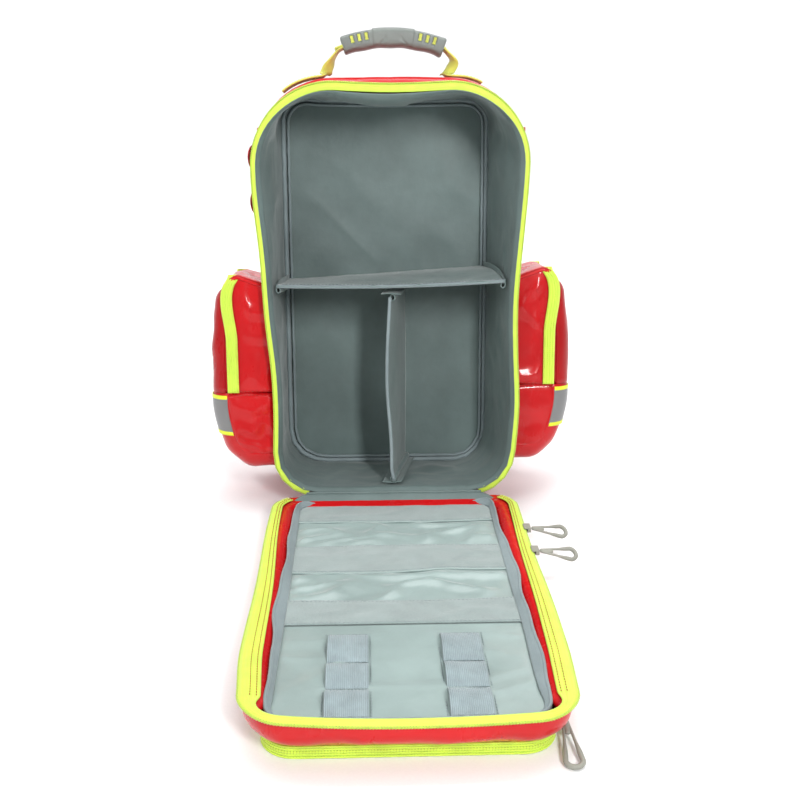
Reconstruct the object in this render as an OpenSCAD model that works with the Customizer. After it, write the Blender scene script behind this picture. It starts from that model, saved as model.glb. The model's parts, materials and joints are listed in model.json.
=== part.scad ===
// Trauma backpack, opened: the main compartment stands leaning back on its rear lower edge,
// and its clamshell door lies on the ground in front of it, outer pocket down.
// Row frame: X across, Y towards the back, Z up, ground at Z = 0.

/* [Main compartment] */
// Height of the main compartment along its back
body_h = 500; // [470:5:530]
// Width across the opening at the hinge end
rim_w_low = 298; // [290:2:304]
// Width across the opening at the top, where the fabric flares
rim_w_high = 328; // [310:2:334]
// Width of the back panel
back_w = 286; // [270:1:292]
// Depth from the opening to the back panel
body_d = 145; // [135:1:160]
// Radius of the two top corners at the opening
top_r = 95; // [70:1:100]
// Radius of the two top corners at the back panel
top_back_r = 38; // [30:1:75]
// Radius of the two bottom corners
low_r = 40; // [26:1:42]
// Lean of the standing compartment, degrees
lean = 8; // [6:0.5:9]
// Thickness of the padded walls
wall_t = 3; // [2:0.5:4]

/* [Door] */
// Length of the door from the hinge to its far end
door_l = 500; // [480:5:510]
// Width of the door's rim
door_w = 297; // [290:1:300]
// Radius of the door's far corners
far_r = 38; // [35:1:60]
// Rise of the door's rim plane from the hinge to the far end, degrees
tray_rise = 2.6; // [2:0.1:3.4]
// Inset of the outer pocket's panel from the rim, at the sides
pocket_inset = 22; // [18:1:26]

/* [Side pockets] */
// Distance of the pockets' outer faces from the centre plane
side_x = 226; // [216:1:236]
// Height of the pockets' bottoms
side_z0 = 32; // [26:1:40]
// Height of the pockets' tops
side_z1 = 276; // [260:1:290]
// Height of the seam that the flap folds on
seam_z = 130; // [120:1:140]
// Depth of the pocket, front to back
side_depth = 108; // [96:1:110]

/* [Handle] */
// Length of the rubber grip
grip_l = 130; // [120:1:136]
// Height of the grip's top above the top wall
grip_top = 69; // [62:1:80]

/* [Dividers] */
// Height of the shelf at the centre plane
shelf_z = 264; // [240:1:290]
// Sideways tilt of the shelf, degrees
shelf_tilt = 3.4; // [0:0.2:4]
// How far the centre divider's back edge stands to the right of its front edge
divider_skew = 22; // [0:1:26]

/* [Hidden] */

// Colours
red = [0.82, 0.08, 0.1];
dark_red = [0.6, 0.05, 0.07];
lime = [0.77, 0.93, 0.2];
webbing_yellow = [0.87, 0.87, 0.35];
lining_grey = [0.42, 0.48, 0.48];
organiser_grey = [0.6, 0.66, 0.68];
grip_grey = [0.5, 0.53, 0.52];
black = [0.08, 0.08, 0.09];
pull_grey = [0.58, 0.58, 0.52];
silver = [0.62, 0.62, 0.62];

eps = 0.01;
fit_gap = 0.3;                    // gap between pieces that lie on each other
flange_y = 1;                     // front of the compartment's zip flange
flange_t = 2.5;
flange_w = 11;
wall_inset = 4;                   // walls stand this far inside the zip flange's edge
wall_y = flange_y + flange_t + fit_gap;
base_drop = 4;                    // the outline's lowest line, below the hinge level
guard_t = 5;                      // base guard, below the base wall
guard_hw = 108;
panel_t = 4;                      // back panel
lining_t = 1;
lining_inset = wall_inset + wall_t + 0.5;
back_outer = body_d + panel_t;
pad_t = 14;
strap_t = 12;
strap_bulge = 40;
strap_top_z = 468;
strap_drop = 330;
hinge_z = back_outer * sin(lean) + guard_t * cos(lean);
corner_steps = 8;

// Door heights are measured from its rim plane, downwards negative
door_tape_top = -2;
door_tape_t = 2;
door_tape_w = 14;
door_hw = door_w / 2;
gusset_top = door_tape_top - door_tape_t - fit_gap;
ring_h = 14;                      // height of the outer pocket's zip band above the ground
ring_t = 3;
ring_far = 16;                    // inset of the outer pocket at the far end
ring_near = 30;                   // inset of the outer pocket at the hinge end
ring_r = 30;
board_top = -12;
board_t = 3;
board_inset = 26;
board_near = 40;                  // first line of the organiser board, from the hinge
board_far = 12;                   // the board reaches this much nearer to the rim at the far end

// Placing the assembly: the origin is the middle of its footprint on the ground
pull_l = 43;
front_pull_l = 60;
front_slider_s = 440;
front_reach = front_slider_s + 8 + front_pull_l;
sternum_t = 0.34;                 // place of the sternum strap along the shoulder straps
buckle_y = strap_point(sternum_t)[1] + strap_t / 2 + 7.6;
buckle_h = 28;
back_reach = buckle_y * cos(lean) + (strap_point(sternum_t)[2] + buckle_h / 2) * sin(lean);
hinge_y = (front_reach - back_reach) / 2;

module body_place() translate([0, hinge_y, hinge_z]) rotate([-lean, 0, 0]) children();
module door_place() translate([0, hinge_y, hinge_z]) rotate([-tray_rise, 0, 0]) children();
module ground_place() translate([0, hinge_y, 0]) children();

// Height in the door's frame of a point at distance s from the hinge and h above the ground
function over_ground(s, h) = (h - hinge_z - s * sin(tray_rise)) / cos(tray_rise);

function mix(a, b, t) = a + (b - a) * t;
function half_w(z, y) = mix(mix(rim_w_low, rim_w_high, z / body_h), back_w, y / body_d) / 2;
function wall_x(y, z) = half_w(z, y) - wall_inset;
function arc(cx, cz, r, a0, a1, n = corner_steps) =
  [for (k = [0:n]) [cx + r * cos(mix(a0, a1, k / n)), cz + r * sin(mix(a0, a1, k / n))]];

function corner_r(y) = mix(top_r, top_back_r, y / body_d);
function top_cz(y) = body_h - corner_r(y);
low_cz = low_r - base_drop;
function side_line(y, inset) = [for (k = [1:3]) let (z = mix(low_cz, top_cz(y), k / 4))
  [half_w(z, y) - inset, z]];
function flip_x(path) = [for (k = [len(path) - 1:-1:0]) [-path[k][0], path[k][1]]];
function top_arc(y, inset) = let (r = corner_r(y), cz = top_cz(y))
  arc(half_w(cz, y) - r, cz, r - inset, 0, 90);
function low_arc(y, inset, a0) = arc(half_w(low_cz, y) - low_r, low_cz, low_r - inset, a0, 0, 4);

// Stretches of the compartment's outline at depth y, each anticlockwise from the front
function right_path(y, i) = concat([low_arc(y, i, -90)[4]], side_line(y, i), [top_arc(y, i)[0]]);
function top_path(y, i) = concat(top_arc(y, i), flip_x(top_arc(y, i)));
function left_path(y, i) = flip_x(right_path(y, i));
function base_path(y, i) = concat(flip_x(low_arc(y, i, -90)), low_arc(y, i, -90));
function rim_path(y, i, a0) = let (half = concat(low_arc(y, i, a0), side_line(y, i), top_arc(y, i)))
  concat(half, flip_x(half));
function ring_path(y, i) = rim_path(y, i, -90);

// Closed skin between an outer and an inner grid of points; grids are [row][point]
module skin(outer, inner, closed = false) {
  m = len(outer);
  n = len(outer[0]);
  last = closed ? n - 1 : n - 2;
  function o(i, j) = j * n + i % n;
  function q(i, j) = m * n + j * n + i % n;
  points = concat([for (row = outer) for (p = row) p], [for (row = inner) for (p = row) p]);
  faces = concat(
    [for (j = [0:m - 2]) for (i = [0:last]) each [
      [o(i, j), o(i + 1, j), o(i + 1, j + 1)], [o(i, j), o(i + 1, j + 1), o(i, j + 1)],
      [q(i, j), q(i + 1, j + 1), q(i + 1, j)], [q(i, j), q(i, j + 1), q(i + 1, j + 1)]]],
    [for (i = [0:last]) each [
      [o(i, 0), q(i, 0), q(i + 1, 0)], [o(i, 0), q(i + 1, 0), o(i + 1, 0)],
      [o(i, m - 1), o(i + 1, m - 1), q(i + 1, m - 1)],
      [o(i, m - 1), q(i + 1, m - 1), q(i, m - 1)]]],
    closed ? [] : [for (j = [0:m - 2]) each [
      [o(0, j), o(0, j + 1), q(0, j + 1)], [o(0, j), q(0, j + 1), q(0, j)],
      [o(n - 1, j + 1), o(n - 1, j), q(n - 1, j)],
      [o(n - 1, j + 1), q(n - 1, j), q(n - 1, j + 1)]]]);
  polyhedron(points, faces);
}

function at_depth(path, y) = [for (p = path) [p[0], y, p[1]]];

// Extrudes a drawing made in the X-Z plane from y0 to y1
module along_y(y0, y1) translate([0, y1, 0]) rotate([90, 0, 0]) linear_extrude(y1 - y0) children();
// Extrudes a drawing made in the Y-Z plane from x0 to x1
module along_x(x0, x1)
  translate([x0, 0, 0]) rotate([90, 0, 90]) linear_extrude(x1 - x0) children();
module both_sides() { children(); mirror([1, 0, 0]) children(); }

// A thin plate lying g0 to g1 outside (or, negative, inside) the right wall's outer face
module wall_patch(y0, y1, z0, z1, g0, g1) {
  function corner(y, z, g) = [wall_x(y, z) + g, y, z];
  points = [for (g = [g0, g1]) for (z = [z0, z1]) for (y = [y0, y1]) corner(y, z, g)];
  polyhedron(points, [[0, 2, 3], [0, 3, 1], [4, 5, 7], [4, 7, 6], [0, 1, 5], [0, 5, 4],
    [2, 6, 7], [2, 7, 3], [0, 4, 6], [0, 6, 2], [1, 3, 7], [1, 7, 5]]);
}

// ---- main compartment ----
module wall(kind) {
  function path(y, i) = kind == "right" ? right_path(y, i) : kind == "left" ? left_path(y, i)
    : kind == "top" ? top_path(y, i) : base_path(y, i);
  inner = wall_inset + wall_t;
  body_place() skin(
    [for (y = [wall_y, body_d]) at_depth(path(y, wall_inset), y)],
    [for (y = [wall_y, body_d]) at_depth(path(y, inner), y)]);
}
module left_wall() color(red) wall("left");
module right_wall() color(red) wall("right");
module top_wall() color(red) wall("top");
module base_wall() color(dark_red) wall("base");

module back_panel() color(red) body_place()
  along_y(body_d, back_outer) polygon(ring_path(body_d, wall_inset));
module back_stiffener() color(black) body_place()
  along_y(body_d - 2.3, body_d - fit_gap) polygon(ring_path(body_d, lining_inset + lining_t));
module base_guard() color(black) body_place()
  translate([0, 0, -guard_t]) linear_extrude(guard_t - fit_gap)
    polygon([[-guard_hw, 14], [guard_hw, 14],
      [guard_hw - 6, back_outer], [6 - guard_hw, back_outer]]);
module body_lining() {
  rows = [wall_y, body_d - 5];
  outer = lining_inset;
  color(lining_grey) body_place() skin(
    [for (y = rows) at_depth(ring_path(y, outer), y)],
    [for (y = rows) at_depth(ring_path(y, outer + lining_t), y)], closed = true);
}
module back_lining() color(lining_grey) body_place()
  along_y(body_d - 4.5, body_d - 3) polygon(ring_path(body_d - 3, lining_inset + lining_t));

rim_start = -60;                  // the zip ends on the lower corner arcs
module rim_strip(i0, i1) body_place() along_y(flange_y, flange_y + flange_t) polygon(concat(
  rim_path(flange_y, i0, rim_start),
  [for (k = [len(rim_path(flange_y, i1, rim_start)) - 1:-1:0]) rim_path(flange_y, i1, rim_start)[k]]));
module body_zip_tape() color(lime) rim_strip(0, flange_w);
module body_zip_coil() color(lime) rim_strip(-3, -fit_gap);

loop_y0 = 14;
loop_y1 = 34;
strip_t = 1.2;
loop_stand = 14;                  // how far the two loops stand off the wall
// Height on the wall and stand-off of the strip's inner face, from its lower to its upper end
loop_profile = concat([[300, 1]], [for (z = [353, 405]) each [[z, 1], [z + 3, loop_stand],
  [z + 26, loop_stand], [z + 29, 1]]], [[446, 1]]);
module loop_strip() {
  function row(y, t) = [for (p = loop_profile) [wall_x(y, p[0]) + p[1] + t, y, p[0]]];
  body_place() skin([row(loop_y0, strip_t), row(loop_y1, strip_t)],
    [row(loop_y0, 0), row(loop_y1, 0)]);
}
module right_loop_strip() color(red) loop_strip();
module left_loop_strip() color(red) mirror([1, 0, 0]) loop_strip();

// ---- carrying handle ----
handle_y = 60;
web_w = 25;
web_t = 2.5;
leg_x = 70;
leg_taper = 26;                   // the webbing narrows over this height, down to its pivot
grip_sag = 12;
grip_w = 28;
grip_t = 22;
grip_arc_r = (pow(grip_l / 2, 2) + pow(grip_sag, 2)) / (2 * grip_sag);
grip_mid_z = body_h - wall_inset + grip_top - grip_t / 2;
grip_cz = grip_mid_z - grip_arc_r;
pivot_z = body_h - 0.5;
grip_angle = asin(grip_l / 2 / grip_arc_r);
leg_angle = asin(leg_x / grip_arc_r);

anchor_l = 45;
anchor_x = leg_x + 2;
// Height of the compartment's outline over the point x at depth y
function top_z(x, y, inset) = let (r = corner_r(y), cx = half_w(top_cz(y), y) - r)
  top_cz(y) + sqrt(pow(r - inset, 2) - pow(max(0, x - cx), 2));
// Bands sewn flat on the top wall, following its rounded corners
module handle_anchor() {
  function row(y, lift) = [for (k = [corner_steps:-1:0])
    let (x = anchor_x + anchor_l * k / corner_steps)
    [x, y, top_z(x, y, wall_inset) + fit_gap + lift]];
  skin([row(handle_y - web_w / 2, web_t), row(handle_y + web_w / 2, web_t)],
    [row(handle_y - web_w / 2, 0), row(handle_y + web_w / 2, 0)]);
}
module handle_anchors() color(webbing_yellow) body_place() both_sides() handle_anchor();
// A band bent round the handle's arc, half-angle a, with the given square section
module arc_band(a, width, depth) translate([0, handle_y, grip_cz]) rotate([90, 0, 0])
  rotate([0, 0, 90 - a]) rotate_extrude(angle = 2 * a, $fn = 96)
    translate([grip_arc_r - depth / 2, -width / 2]) square([depth, width]);
module handle_webbing() color(webbing_yellow) body_place() {
  arc_band(leg_angle, web_w, web_t);
  leg_top = grip_cz + grip_arc_r * cos(leg_angle) + 0.4;
  leg_hw = web_w / 2 - 0.25;
  both_sides() along_x(leg_x - web_t - 0.6, leg_x - 0.6) translate([handle_y, 0]) polygon([
    [-3, pivot_z + 0.7], [3, pivot_z + 0.7], [leg_hw, pivot_z + leg_taper], [leg_hw, leg_top],
    [-leg_hw, leg_top], [-leg_hw, pivot_z + leg_taper]]);
}
module handle_grip() color(grip_grey) body_place() difference() {
  translate([0, handle_y, grip_cz]) rotate([90, 0, 0]) rotate([0, 0, 90 - grip_angle])
    rotate_extrude(angle = 2 * grip_angle, $fn = 96) translate([grip_arc_r, 0]) {
      square([grip_t, grip_w - 14], center = true);
      square([grip_t - 14, grip_w], center = true);
      for (sx = [-1, 1]) for (sy = [-1, 1])
        translate([sx * (grip_t / 2 - 7), sy * (grip_w / 2 - 7)]) circle(7, $fn = 32);
    }
  arc_band(grip_angle + 2, web_w + 0.6, web_t + 0.6);
}

// ---- carrying harness on the back ----
pad_low = 60;
pad_high = 430;
pad_hw = 112;
module back_pad() color(black) body_place() along_y(back_outer + fit_gap, back_outer + pad_t)
  polygon([[-100, pad_low], [100, pad_low], [pad_hw, pad_low + 30], [pad_hw, pad_high - 30],
    [96, pad_high], [-96, pad_high], [-pad_hw, pad_high - 30], [-pad_hw, pad_low + 30]]);
// Middle line of a shoulder strap; t runs from the top end to the bottom end
function strap_point(t) = [mix(52, 88, t),
  back_outer + strap_t / 2 + 0.5 + pad_t * min(1, t * 8) + strap_bulge * sin(180 * t),
  strap_top_z - strap_drop * t];
strap_w = 60;
module shoulder_strap() {
  steps = 20;
  function row(d) = [for (k = [0:steps]) let (p = strap_point(k / steps)) [p[0], p[1] + d, p[2]]];
  function side(d, dx) = [for (p = row(d)) [p[0] + dx, p[1], p[2]]];
  h = strap_t / 2;
  body_place() skin([side(h, strap_w / 2), side(h, -strap_w / 2)],
    [side(-h, strap_w / 2), side(-h, -strap_w / 2)]);
}
module right_shoulder_strap() color(black) shoulder_strap();
module left_shoulder_strap() color(black) mirror([1, 0, 0]) shoulder_strap();
lock_z = strap_top_z - strap_drop;
lock_y = back_outer + pad_t + 2;
module ladder_locks() color(black) body_place() both_sides()
  translate([strap_point(1)[0] - 16, lock_y, lock_z - 30]) difference() {
    cube([32, 5, 28]);
    for (z = [6, 18]) translate([3, -1, z]) cube([26, 7, 3]);
  }
module strap_webbing() color(black) body_place() both_sides() {
  x0 = strap_point(1)[0];
  pad_y = back_outer + pad_t;
  along_x(x0 - web_w / 2, x0 + web_w / 2) polygon([
    [lock_y + 1, lock_z - 31], [lock_y + 3, lock_z - 31], [pad_y + 2.5, pad_low - 2],
    [back_outer + 3, pad_low - 24], [back_outer + 0.5, pad_low - 24],
    [back_outer + 0.5, pad_low - 19], [pad_y + 0.5, pad_low - 2]]);
}
sternum_y = buckle_y - 5;
sternum_z = strap_point(sternum_t)[2];
buckle_w = 30;
module sternum_webbing() color(black) body_place() both_sides()
  translate([buckle_w / 2 + 6, sternum_y, sternum_z - 10]) cube([42, 1.6, 20]);
module sternum_socket() color(black) body_place()
  translate([-18, sternum_y - 3, sternum_z - buckle_h / 2]) difference() {
    cube([20, 8, buckle_h]);
    translate([6, 2, 4]) cube([20, 4, buckle_h - 8]);
  }
module sternum_plug() color(black) body_place()
  translate([2.4, sternum_y - 3, sternum_z - buckle_h / 2]) union() {
    cube([17, 8, buckle_h]);
    for (z = [4.6, 18.4]) translate([-9, 2.4, z]) cube([9 + eps, 3.2, 5]);
  }

// ---- dividers ----
divider_t = 5;
divider_y0 = 10;
divider_y1 = 136;
shelf_front = half_w(shelf_z, divider_y0) - lining_inset - 6.5;
shelf_back = half_w(shelf_z, divider_y1) - lining_inset - 6.5;
module shelf_divider() color(lining_grey) body_place()
  translate([0, 0, shelf_z]) rotate([0, -shelf_tilt, 0]) translate([0, 0, -divider_t / 2])
    linear_extrude(divider_t) polygon([[-shelf_front, divider_y0], [shelf_front, divider_y0],
      [shelf_back, divider_y1], [-shelf_back, divider_y1]]);
tape_in = lining_inset + lining_t - wall_inset;   // wall's outer face to the lining's inner face
shelf_rise = shelf_front * sin(shelf_tilt);
module shelf_hook_tapes() color(lining_grey) body_place() {
  z = shelf_z + shelf_rise;
  wall_patch(divider_y0, divider_y1, z - 14, z + 12, -tape_in - 4.6, -tape_in - 3.6);
  low = shelf_z - shelf_rise;
  mirror([1, 0, 0])
    wall_patch(divider_y0, divider_y1, low - 14, low + 12, -tape_in - 4.6, -tape_in - 3.6);
}
divider_x = -3.5;                 // at the opening
divider_back_x = divider_x + divider_skew;
divider_top = shelf_z - 8;
divider_low = 8;
hook_hw = 15;                     // half width of the hook tapes above and below it
hook_t = 1.5;
// Upright slab along the divider's oblique line, of half-width w, from height z0 to z1
module divider_slab(w, z0, z1) body_place() translate([0, 0, z0]) linear_extrude(z1 - z0)
  polygon([[divider_x - w, divider_y0 + 2], [divider_x + w, divider_y0 + 2],
    [divider_back_x + w, divider_y1], [divider_back_x - w, divider_y1]]);
module centre_divider() color(lining_grey)
  divider_slab(divider_t / 2, divider_low + 2, divider_top - 2);
module divider_hook_tapes() color(lining_grey)
  for (z = [divider_low, divider_top - hook_t]) divider_slab(hook_hw, z, z + hook_t);

// ---- side pockets ----
side_y0 = 20;
side_y1 = side_y0 + side_depth;
cap_x = side_x - 20;              // the flap covers everything beyond this
shoulder_r = 30;                  // rounding between the pocket's side and its top
cap_top = side_z1 - shoulder_r;
low_bulge = 42;
skin_t = 3;
seam_gap = 0.6;
band_x = 170;                     // the swept part of the shell starts here
module side_plate(y0, y1) {
  gap = fit_gap + 0.2;
  along_y(y0, y1) polygon(concat(
    [[wall_x(y0, side_z0) + gap, side_z0]],
    arc(side_x - low_bulge, side_z0 + low_bulge, low_bulge, -90, 0),
    [[side_x, seam_z], [cap_x, seam_z]],
    arc(cap_x - shoulder_r, cap_top, shoulder_r, 0, 90),
    [[wall_x(y0, side_z1) + gap, side_z1]]));
}
module side_floor(z) translate([0, 0, z]) linear_extrude(skin_t) polygon([
  [wall_x(side_y0, z) + 0.8, side_y0 + eps], [band_x + eps, side_y0 + eps],
  [band_x + eps, side_y1 - eps], [wall_x(side_y1, z) + 0.8, side_y1 - eps]]);
module pocket_shell() body_place() {
  side_plate(side_y0, side_y0 + skin_t);
  side_plate(side_y1 - skin_t, side_y1);
  side_floor(side_z0);
  side_floor(side_z1 - skin_t);
  along_y(side_y0, side_y1) {
    polygon(concat([[band_x, side_z0]],
      arc(side_x - low_bulge, side_z0 + low_bulge, low_bulge, -90, 0),
      [[side_x, seam_z], [cap_x, seam_z], [cap_x, seam_z - skin_t],
        [side_x - skin_t, seam_z - skin_t]],
      arc(side_x - low_bulge, side_z0 + low_bulge, low_bulge - skin_t, 0, -90),
      [[band_x, side_z0 + skin_t]]));
    polygon(concat(arc(cap_x - shoulder_r, cap_top, shoulder_r, 0, 90), [[band_x, side_z1],
      [band_x, side_z1 - skin_t]], arc(cap_x - shoulder_r, cap_top, shoulder_r - skin_t, 90, 0)));
  }
}
module right_pocket_shell() color(red) pocket_shell();
module left_pocket_shell() color(red) mirror([1, 0, 0]) pocket_shell();

cap_r = side_x - cap_x - 0.4;
module cap_profile(i) polygon(concat([[cap_x + 0.4 - 2 * i, seam_z + seam_gap + i],
  [side_x - i, seam_z + seam_gap + i]],
  arc(side_x - cap_r, cap_top - cap_r, cap_r - i, 0, 90),
  [[cap_x + 0.4 - 2 * i, cap_top - i]]));
module pocket_flap() body_place() difference() {
  along_y(side_y0, side_y1) cap_profile(0);
  along_y(side_y0 + skin_t, side_y1 - skin_t) cap_profile(skin_t);
}
module right_pocket_flap() color(dark_red) pocket_flap();
module left_pocket_flap() color(dark_red) mirror([1, 0, 0]) pocket_flap();

zip_w = 13;
module pocket_tape() body_place() {
  for (y = [side_y0 - 1.5, side_y1 + fit_gap]) along_y(y, y + 1.2)
    translate([cap_x - zip_w, seam_z + 1]) square([zip_w, cap_top - seam_z - 1]);
  along_y(side_y0, side_y1) polygon(concat(
    arc(cap_x - shoulder_r, cap_top, shoulder_r + fit_gap + 1.3, 2, 26),
    arc(cap_x - shoulder_r, cap_top, shoulder_r + fit_gap, 26, 2)));
}
module right_pocket_tape() color(lime) pocket_tape();
module left_pocket_tape() color(lime) mirror([1, 0, 0]) pocket_tape();

reflector_w = 50;
module reflector() body_place()
  translate([side_x + fit_gap, side_y0 + 8, seam_z - 54])
    cube([1.2, side_depth - 16, reflector_w]);
module right_reflector() color(silver) reflector();
module left_reflector() color(silver) mirror([1, 0, 0]) reflector();

// Zip slider: a block with a bridge, its foot at the origin, standing along +Z, travelling in Y
module slider_block() {
  translate([-4, -7, 0]) cube([8, 14, 3]);
  for (y = [-5, 3.5]) translate([-1.5, y, 3 - eps]) cube([3, 1.5, 2.5]);
  translate([-1.5, -5, 5]) cube([3, 10, 1.2]);
}
// Flat teardrop pull loop in the X-Y plane, its narrow end at the origin, length l along +X
module pull_loop(l, r = 7, bar = 2.6, t = 3) {
  tip = 2.4;
  module drop(i) {
    a = acos((r - tip) / (l - r - tip));
    translate([tip, 0]) polygon(concat(
      arc(0, 0, tip - i, a, 360 - a, 8),
      arc(l - r - tip, 0, r - i, -a, a, 16)));
  }
  translate([0, 0, -t / 2]) linear_extrude(t) difference() {
    drop(0);
    translate([bar + 1.6, 0]) scale((l - 2 * bar - 2) / l) drop(0);
  }
}
pocket_slider_z = 150;
slider_foot = side_y1 + 1.8;
module pocket_slider() body_place()
  translate([cap_x - zip_w / 2, slider_foot, pocket_slider_z]) rotate([-90, 0, 0]) slider_block();
module pocket_pull() body_place()
  translate([cap_x - zip_w / 2, slider_foot + 9, pocket_slider_z - 1]) rotate([0, 90, 0])
    rotate([90, 0, 0]) pull_loop(50);
module right_pocket_slider() color(pull_grey) pocket_slider();
module left_pocket_slider() color(pull_grey) mirror([1, 0, 0]) pocket_slider();
module right_pocket_pull() color(pull_grey) pocket_pull();
module left_pocket_pull() color(pull_grey) mirror([1, 0, 0]) pocket_pull();

// ---- door ----
// Outline in the door's plane, anticlockwise from above, starting at the hinge's left corner;
// si, fi and ni are its insets at the sides, the far end and the hinge end
function door_path(si, fi, ni, rn, rf, a0 = 90) = let (h = door_hw - si, far = -(door_l - fi)) concat(
  arc(-(h - rn), -ni - rn, rn, a0, 180, 6), arc(-(h - rf), far + rf, rf, 180, 270, 8),
  arc(h - rf, far + rf, rf, 270, 360, 8), arc(h - rn, -ni - rn, rn, 0, 180 - a0, 6));
function lift(path, h) = [for (p = path) [p[0], p[1], h]];
function sloped(path, h) = [for (p = path) [p[0], p[1], over_ground(-p[1], h)]];
function rim_outline(i, a0 = 90) = door_path(i, i, i, low_r - i, far_r - i, a0);
function back_to_front(path) = [for (k = [len(path) - 1:-1:0]) path[k]];
module door_strip(i0, i1, z0, z1) door_place() translate([0, 0, z0]) linear_extrude(z1 - z0)
  polygon(concat(rim_outline(i0, 150), back_to_front(rim_outline(i1, 150))));

module door_zip_tape() color(lime)
  door_strip(0, door_tape_w, door_tape_top - door_tape_t, door_tape_top);
module door_zip_coil() color(lime)
  door_strip(-3, -fit_gap, door_tape_top - door_tape_t, door_tape_top);
module door_border() color(red) door_strip(13, 22, gusset_top - 1.5, gusset_top);

module door_gusset() color(red) door_place() skin(
  [lift(door_path(1, 1, 3, low_r - 1, far_r - 1), gusset_top),
    sloped(door_path(pocket_inset, ring_far, ring_near, ring_r, ring_r), ring_h)],
  [lift(door_path(4, 4, 6, low_r - 4, far_r - 4), gusset_top),
    sloped(door_path(pocket_inset + ring_t, ring_far + ring_t, ring_near + ring_t,
      ring_r - ring_t, ring_r - ring_t), ring_h)], closed = true);

module board_area(i)
  polygon(door_path(board_inset + i, board_inset - board_far + i, board_near + i, 18, 22));
module door_board() color(lining_grey) door_place()
  translate([0, 0, board_top - board_t]) linear_extrude(board_t) board_area(0);
module door_hem() color(lining_grey) door_place()
  translate([0, 0, board_top + 0.2]) linear_extrude(5.6) difference() {
    board_area(-3);
    board_area(2);
  }

sheet_t = 1;
band_t = 1.4;
band_hw = door_hw - board_inset - 4;
module organiser_sheet(s0, s1, z, t, hw = band_hw) door_place()
  translate([-hw, -s1, z]) cube([2 * hw, s1 - s0, t]);
band_z = board_top + 0.2 + sheet_t + 0.2;
module organiser_pockets() color(organiser_grey) {
  organiser_sheet(74, 206, board_top + 0.2, sheet_t);
  organiser_sheet(210, 318, board_top + 0.2, sheet_t);
}
module loop_band_near() color(lining_grey) organiser_sheet(43, 70, band_z, band_t, band_hw - 14);
module loop_band_mid() color(lining_grey) organiser_sheet(142, 210, band_z, band_t);
module loop_band_far() color(lining_grey) organiser_sheet(272, 322, band_z, band_t);

elastic_s = [342, 394, 438, 476]; // stitch lines of the elastic loops, from the hinge
elastic_w = 37;
elastic_x = 53;
loop_h = 8;
module elastic_strip() door_place() translate([elastic_x, 0, board_top + 0.2])
  for (k = [0:2]) translate([-elastic_w / 2, -elastic_s[k + 1] + 1, 0]) {
    l = elastic_s[k + 1] - elastic_s[k] - 2;
    difference() {
      cube([elastic_w, l, loop_h + 1.2]);
      translate([-1, 2, 1]) cube([elastic_w + 2, l - 4, loop_h - 1]);
    }
  }
module elastic_loops() color(organiser_grey) both_sides() elastic_strip();

module ring_area(i) polygon(door_path(pocket_inset + i, ring_far + i, ring_near + i,
  ring_r - i, ring_r - i));
module front_pocket_tape() color(lime) ground_place() linear_extrude(ring_h - fit_gap)
  difference() { ring_area(0); ring_area(ring_t); }
lid_t = 4;
module front_pocket_lid() color(red) ground_place() linear_extrude(lid_t) ring_area(ring_t + 0.5);

hinge_half = 112;
module hinge_web() color(lining_grey) body_place() translate([-hinge_half, 1.5, -1.2])
  cube([2 * hinge_half, 12, 0.9]);

// ---- sliders and pulls on the door ----
slider_lower_s = 112;
slider_upper_s = 174;
slider_l = 14;
slider_plate = 1.4;
slider_reach = 7;                 // how far the slider stands out past the rim
slider_low = -5.8;                // underside of its lower plate
module main_slider(s) door_place() translate([door_hw, -s - slider_l / 2, 0]) {
  translate([-1, 0, -1.7]) cube([slider_reach + 1, slider_l, slider_plate]);
  translate([fit_gap, 0, slider_low]) cube([slider_reach - fit_gap, slider_l, slider_plate]);
  translate([slider_reach / 2, 0, slider_low]) cube([slider_reach / 2, slider_l, 5.5]);
}
module main_pull(s) door_place() translate([door_hw + 8, -s, -3.2]) rotate([0, 8, 0])
  pull_loop(pull_l);
module main_slider_lower() color(pull_grey) main_slider(slider_lower_s);
module main_slider_upper() color(pull_grey) main_slider(slider_upper_s);
module main_pull_lower() color(pull_grey) main_pull(slider_lower_s);
module main_pull_upper() color(pull_grey) main_pull(slider_upper_s);

front_slider_x = door_hw - pocket_inset + 0.3;
module front_slider() color(pull_grey) ground_place()
  translate([front_slider_x, -front_slider_s, 7]) rotate([0, 90, 0]) slider_block();
module front_pull() color(pull_grey) ground_place()
  translate([front_slider_x + 9, -front_slider_s - 8, 11]) rotate([0, 0, -90])
    rotate([0, 8, 0]) pull_loop(front_pull_l);

back_panel();
back_stiffener();
left_wall();
right_wall();
top_wall();
base_wall();
base_guard();
body_lining();
back_lining();
body_zip_tape();
body_zip_coil();
left_loop_strip();
right_loop_strip();
handle_anchors();
handle_webbing();
handle_grip();
back_pad();
left_shoulder_strap();
right_shoulder_strap();
strap_webbing();
ladder_locks();
sternum_webbing();
sternum_socket();
sternum_plug();
shelf_divider();
shelf_hook_tapes();
centre_divider();
divider_hook_tapes();
left_pocket_shell();
right_pocket_shell();
left_pocket_flap();
right_pocket_flap();
left_pocket_tape();
right_pocket_tape();
left_reflector();
right_reflector();
left_pocket_slider();
right_pocket_slider();
left_pocket_pull();
right_pocket_pull();
hinge_web();
door_gusset();
door_zip_tape();
door_zip_coil();
door_border();
door_board();
door_hem();
loop_band_near();
loop_band_mid();
loop_band_far();
organiser_pockets();
elastic_loops();
front_pocket_tape();
front_pocket_lid();
main_slider_lower();
main_slider_upper();
front_slider();
main_pull_lower();
main_pull_upper();
front_pull();
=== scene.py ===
"""Looks of an opened trauma backpack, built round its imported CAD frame."""
import json
import math

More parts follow.
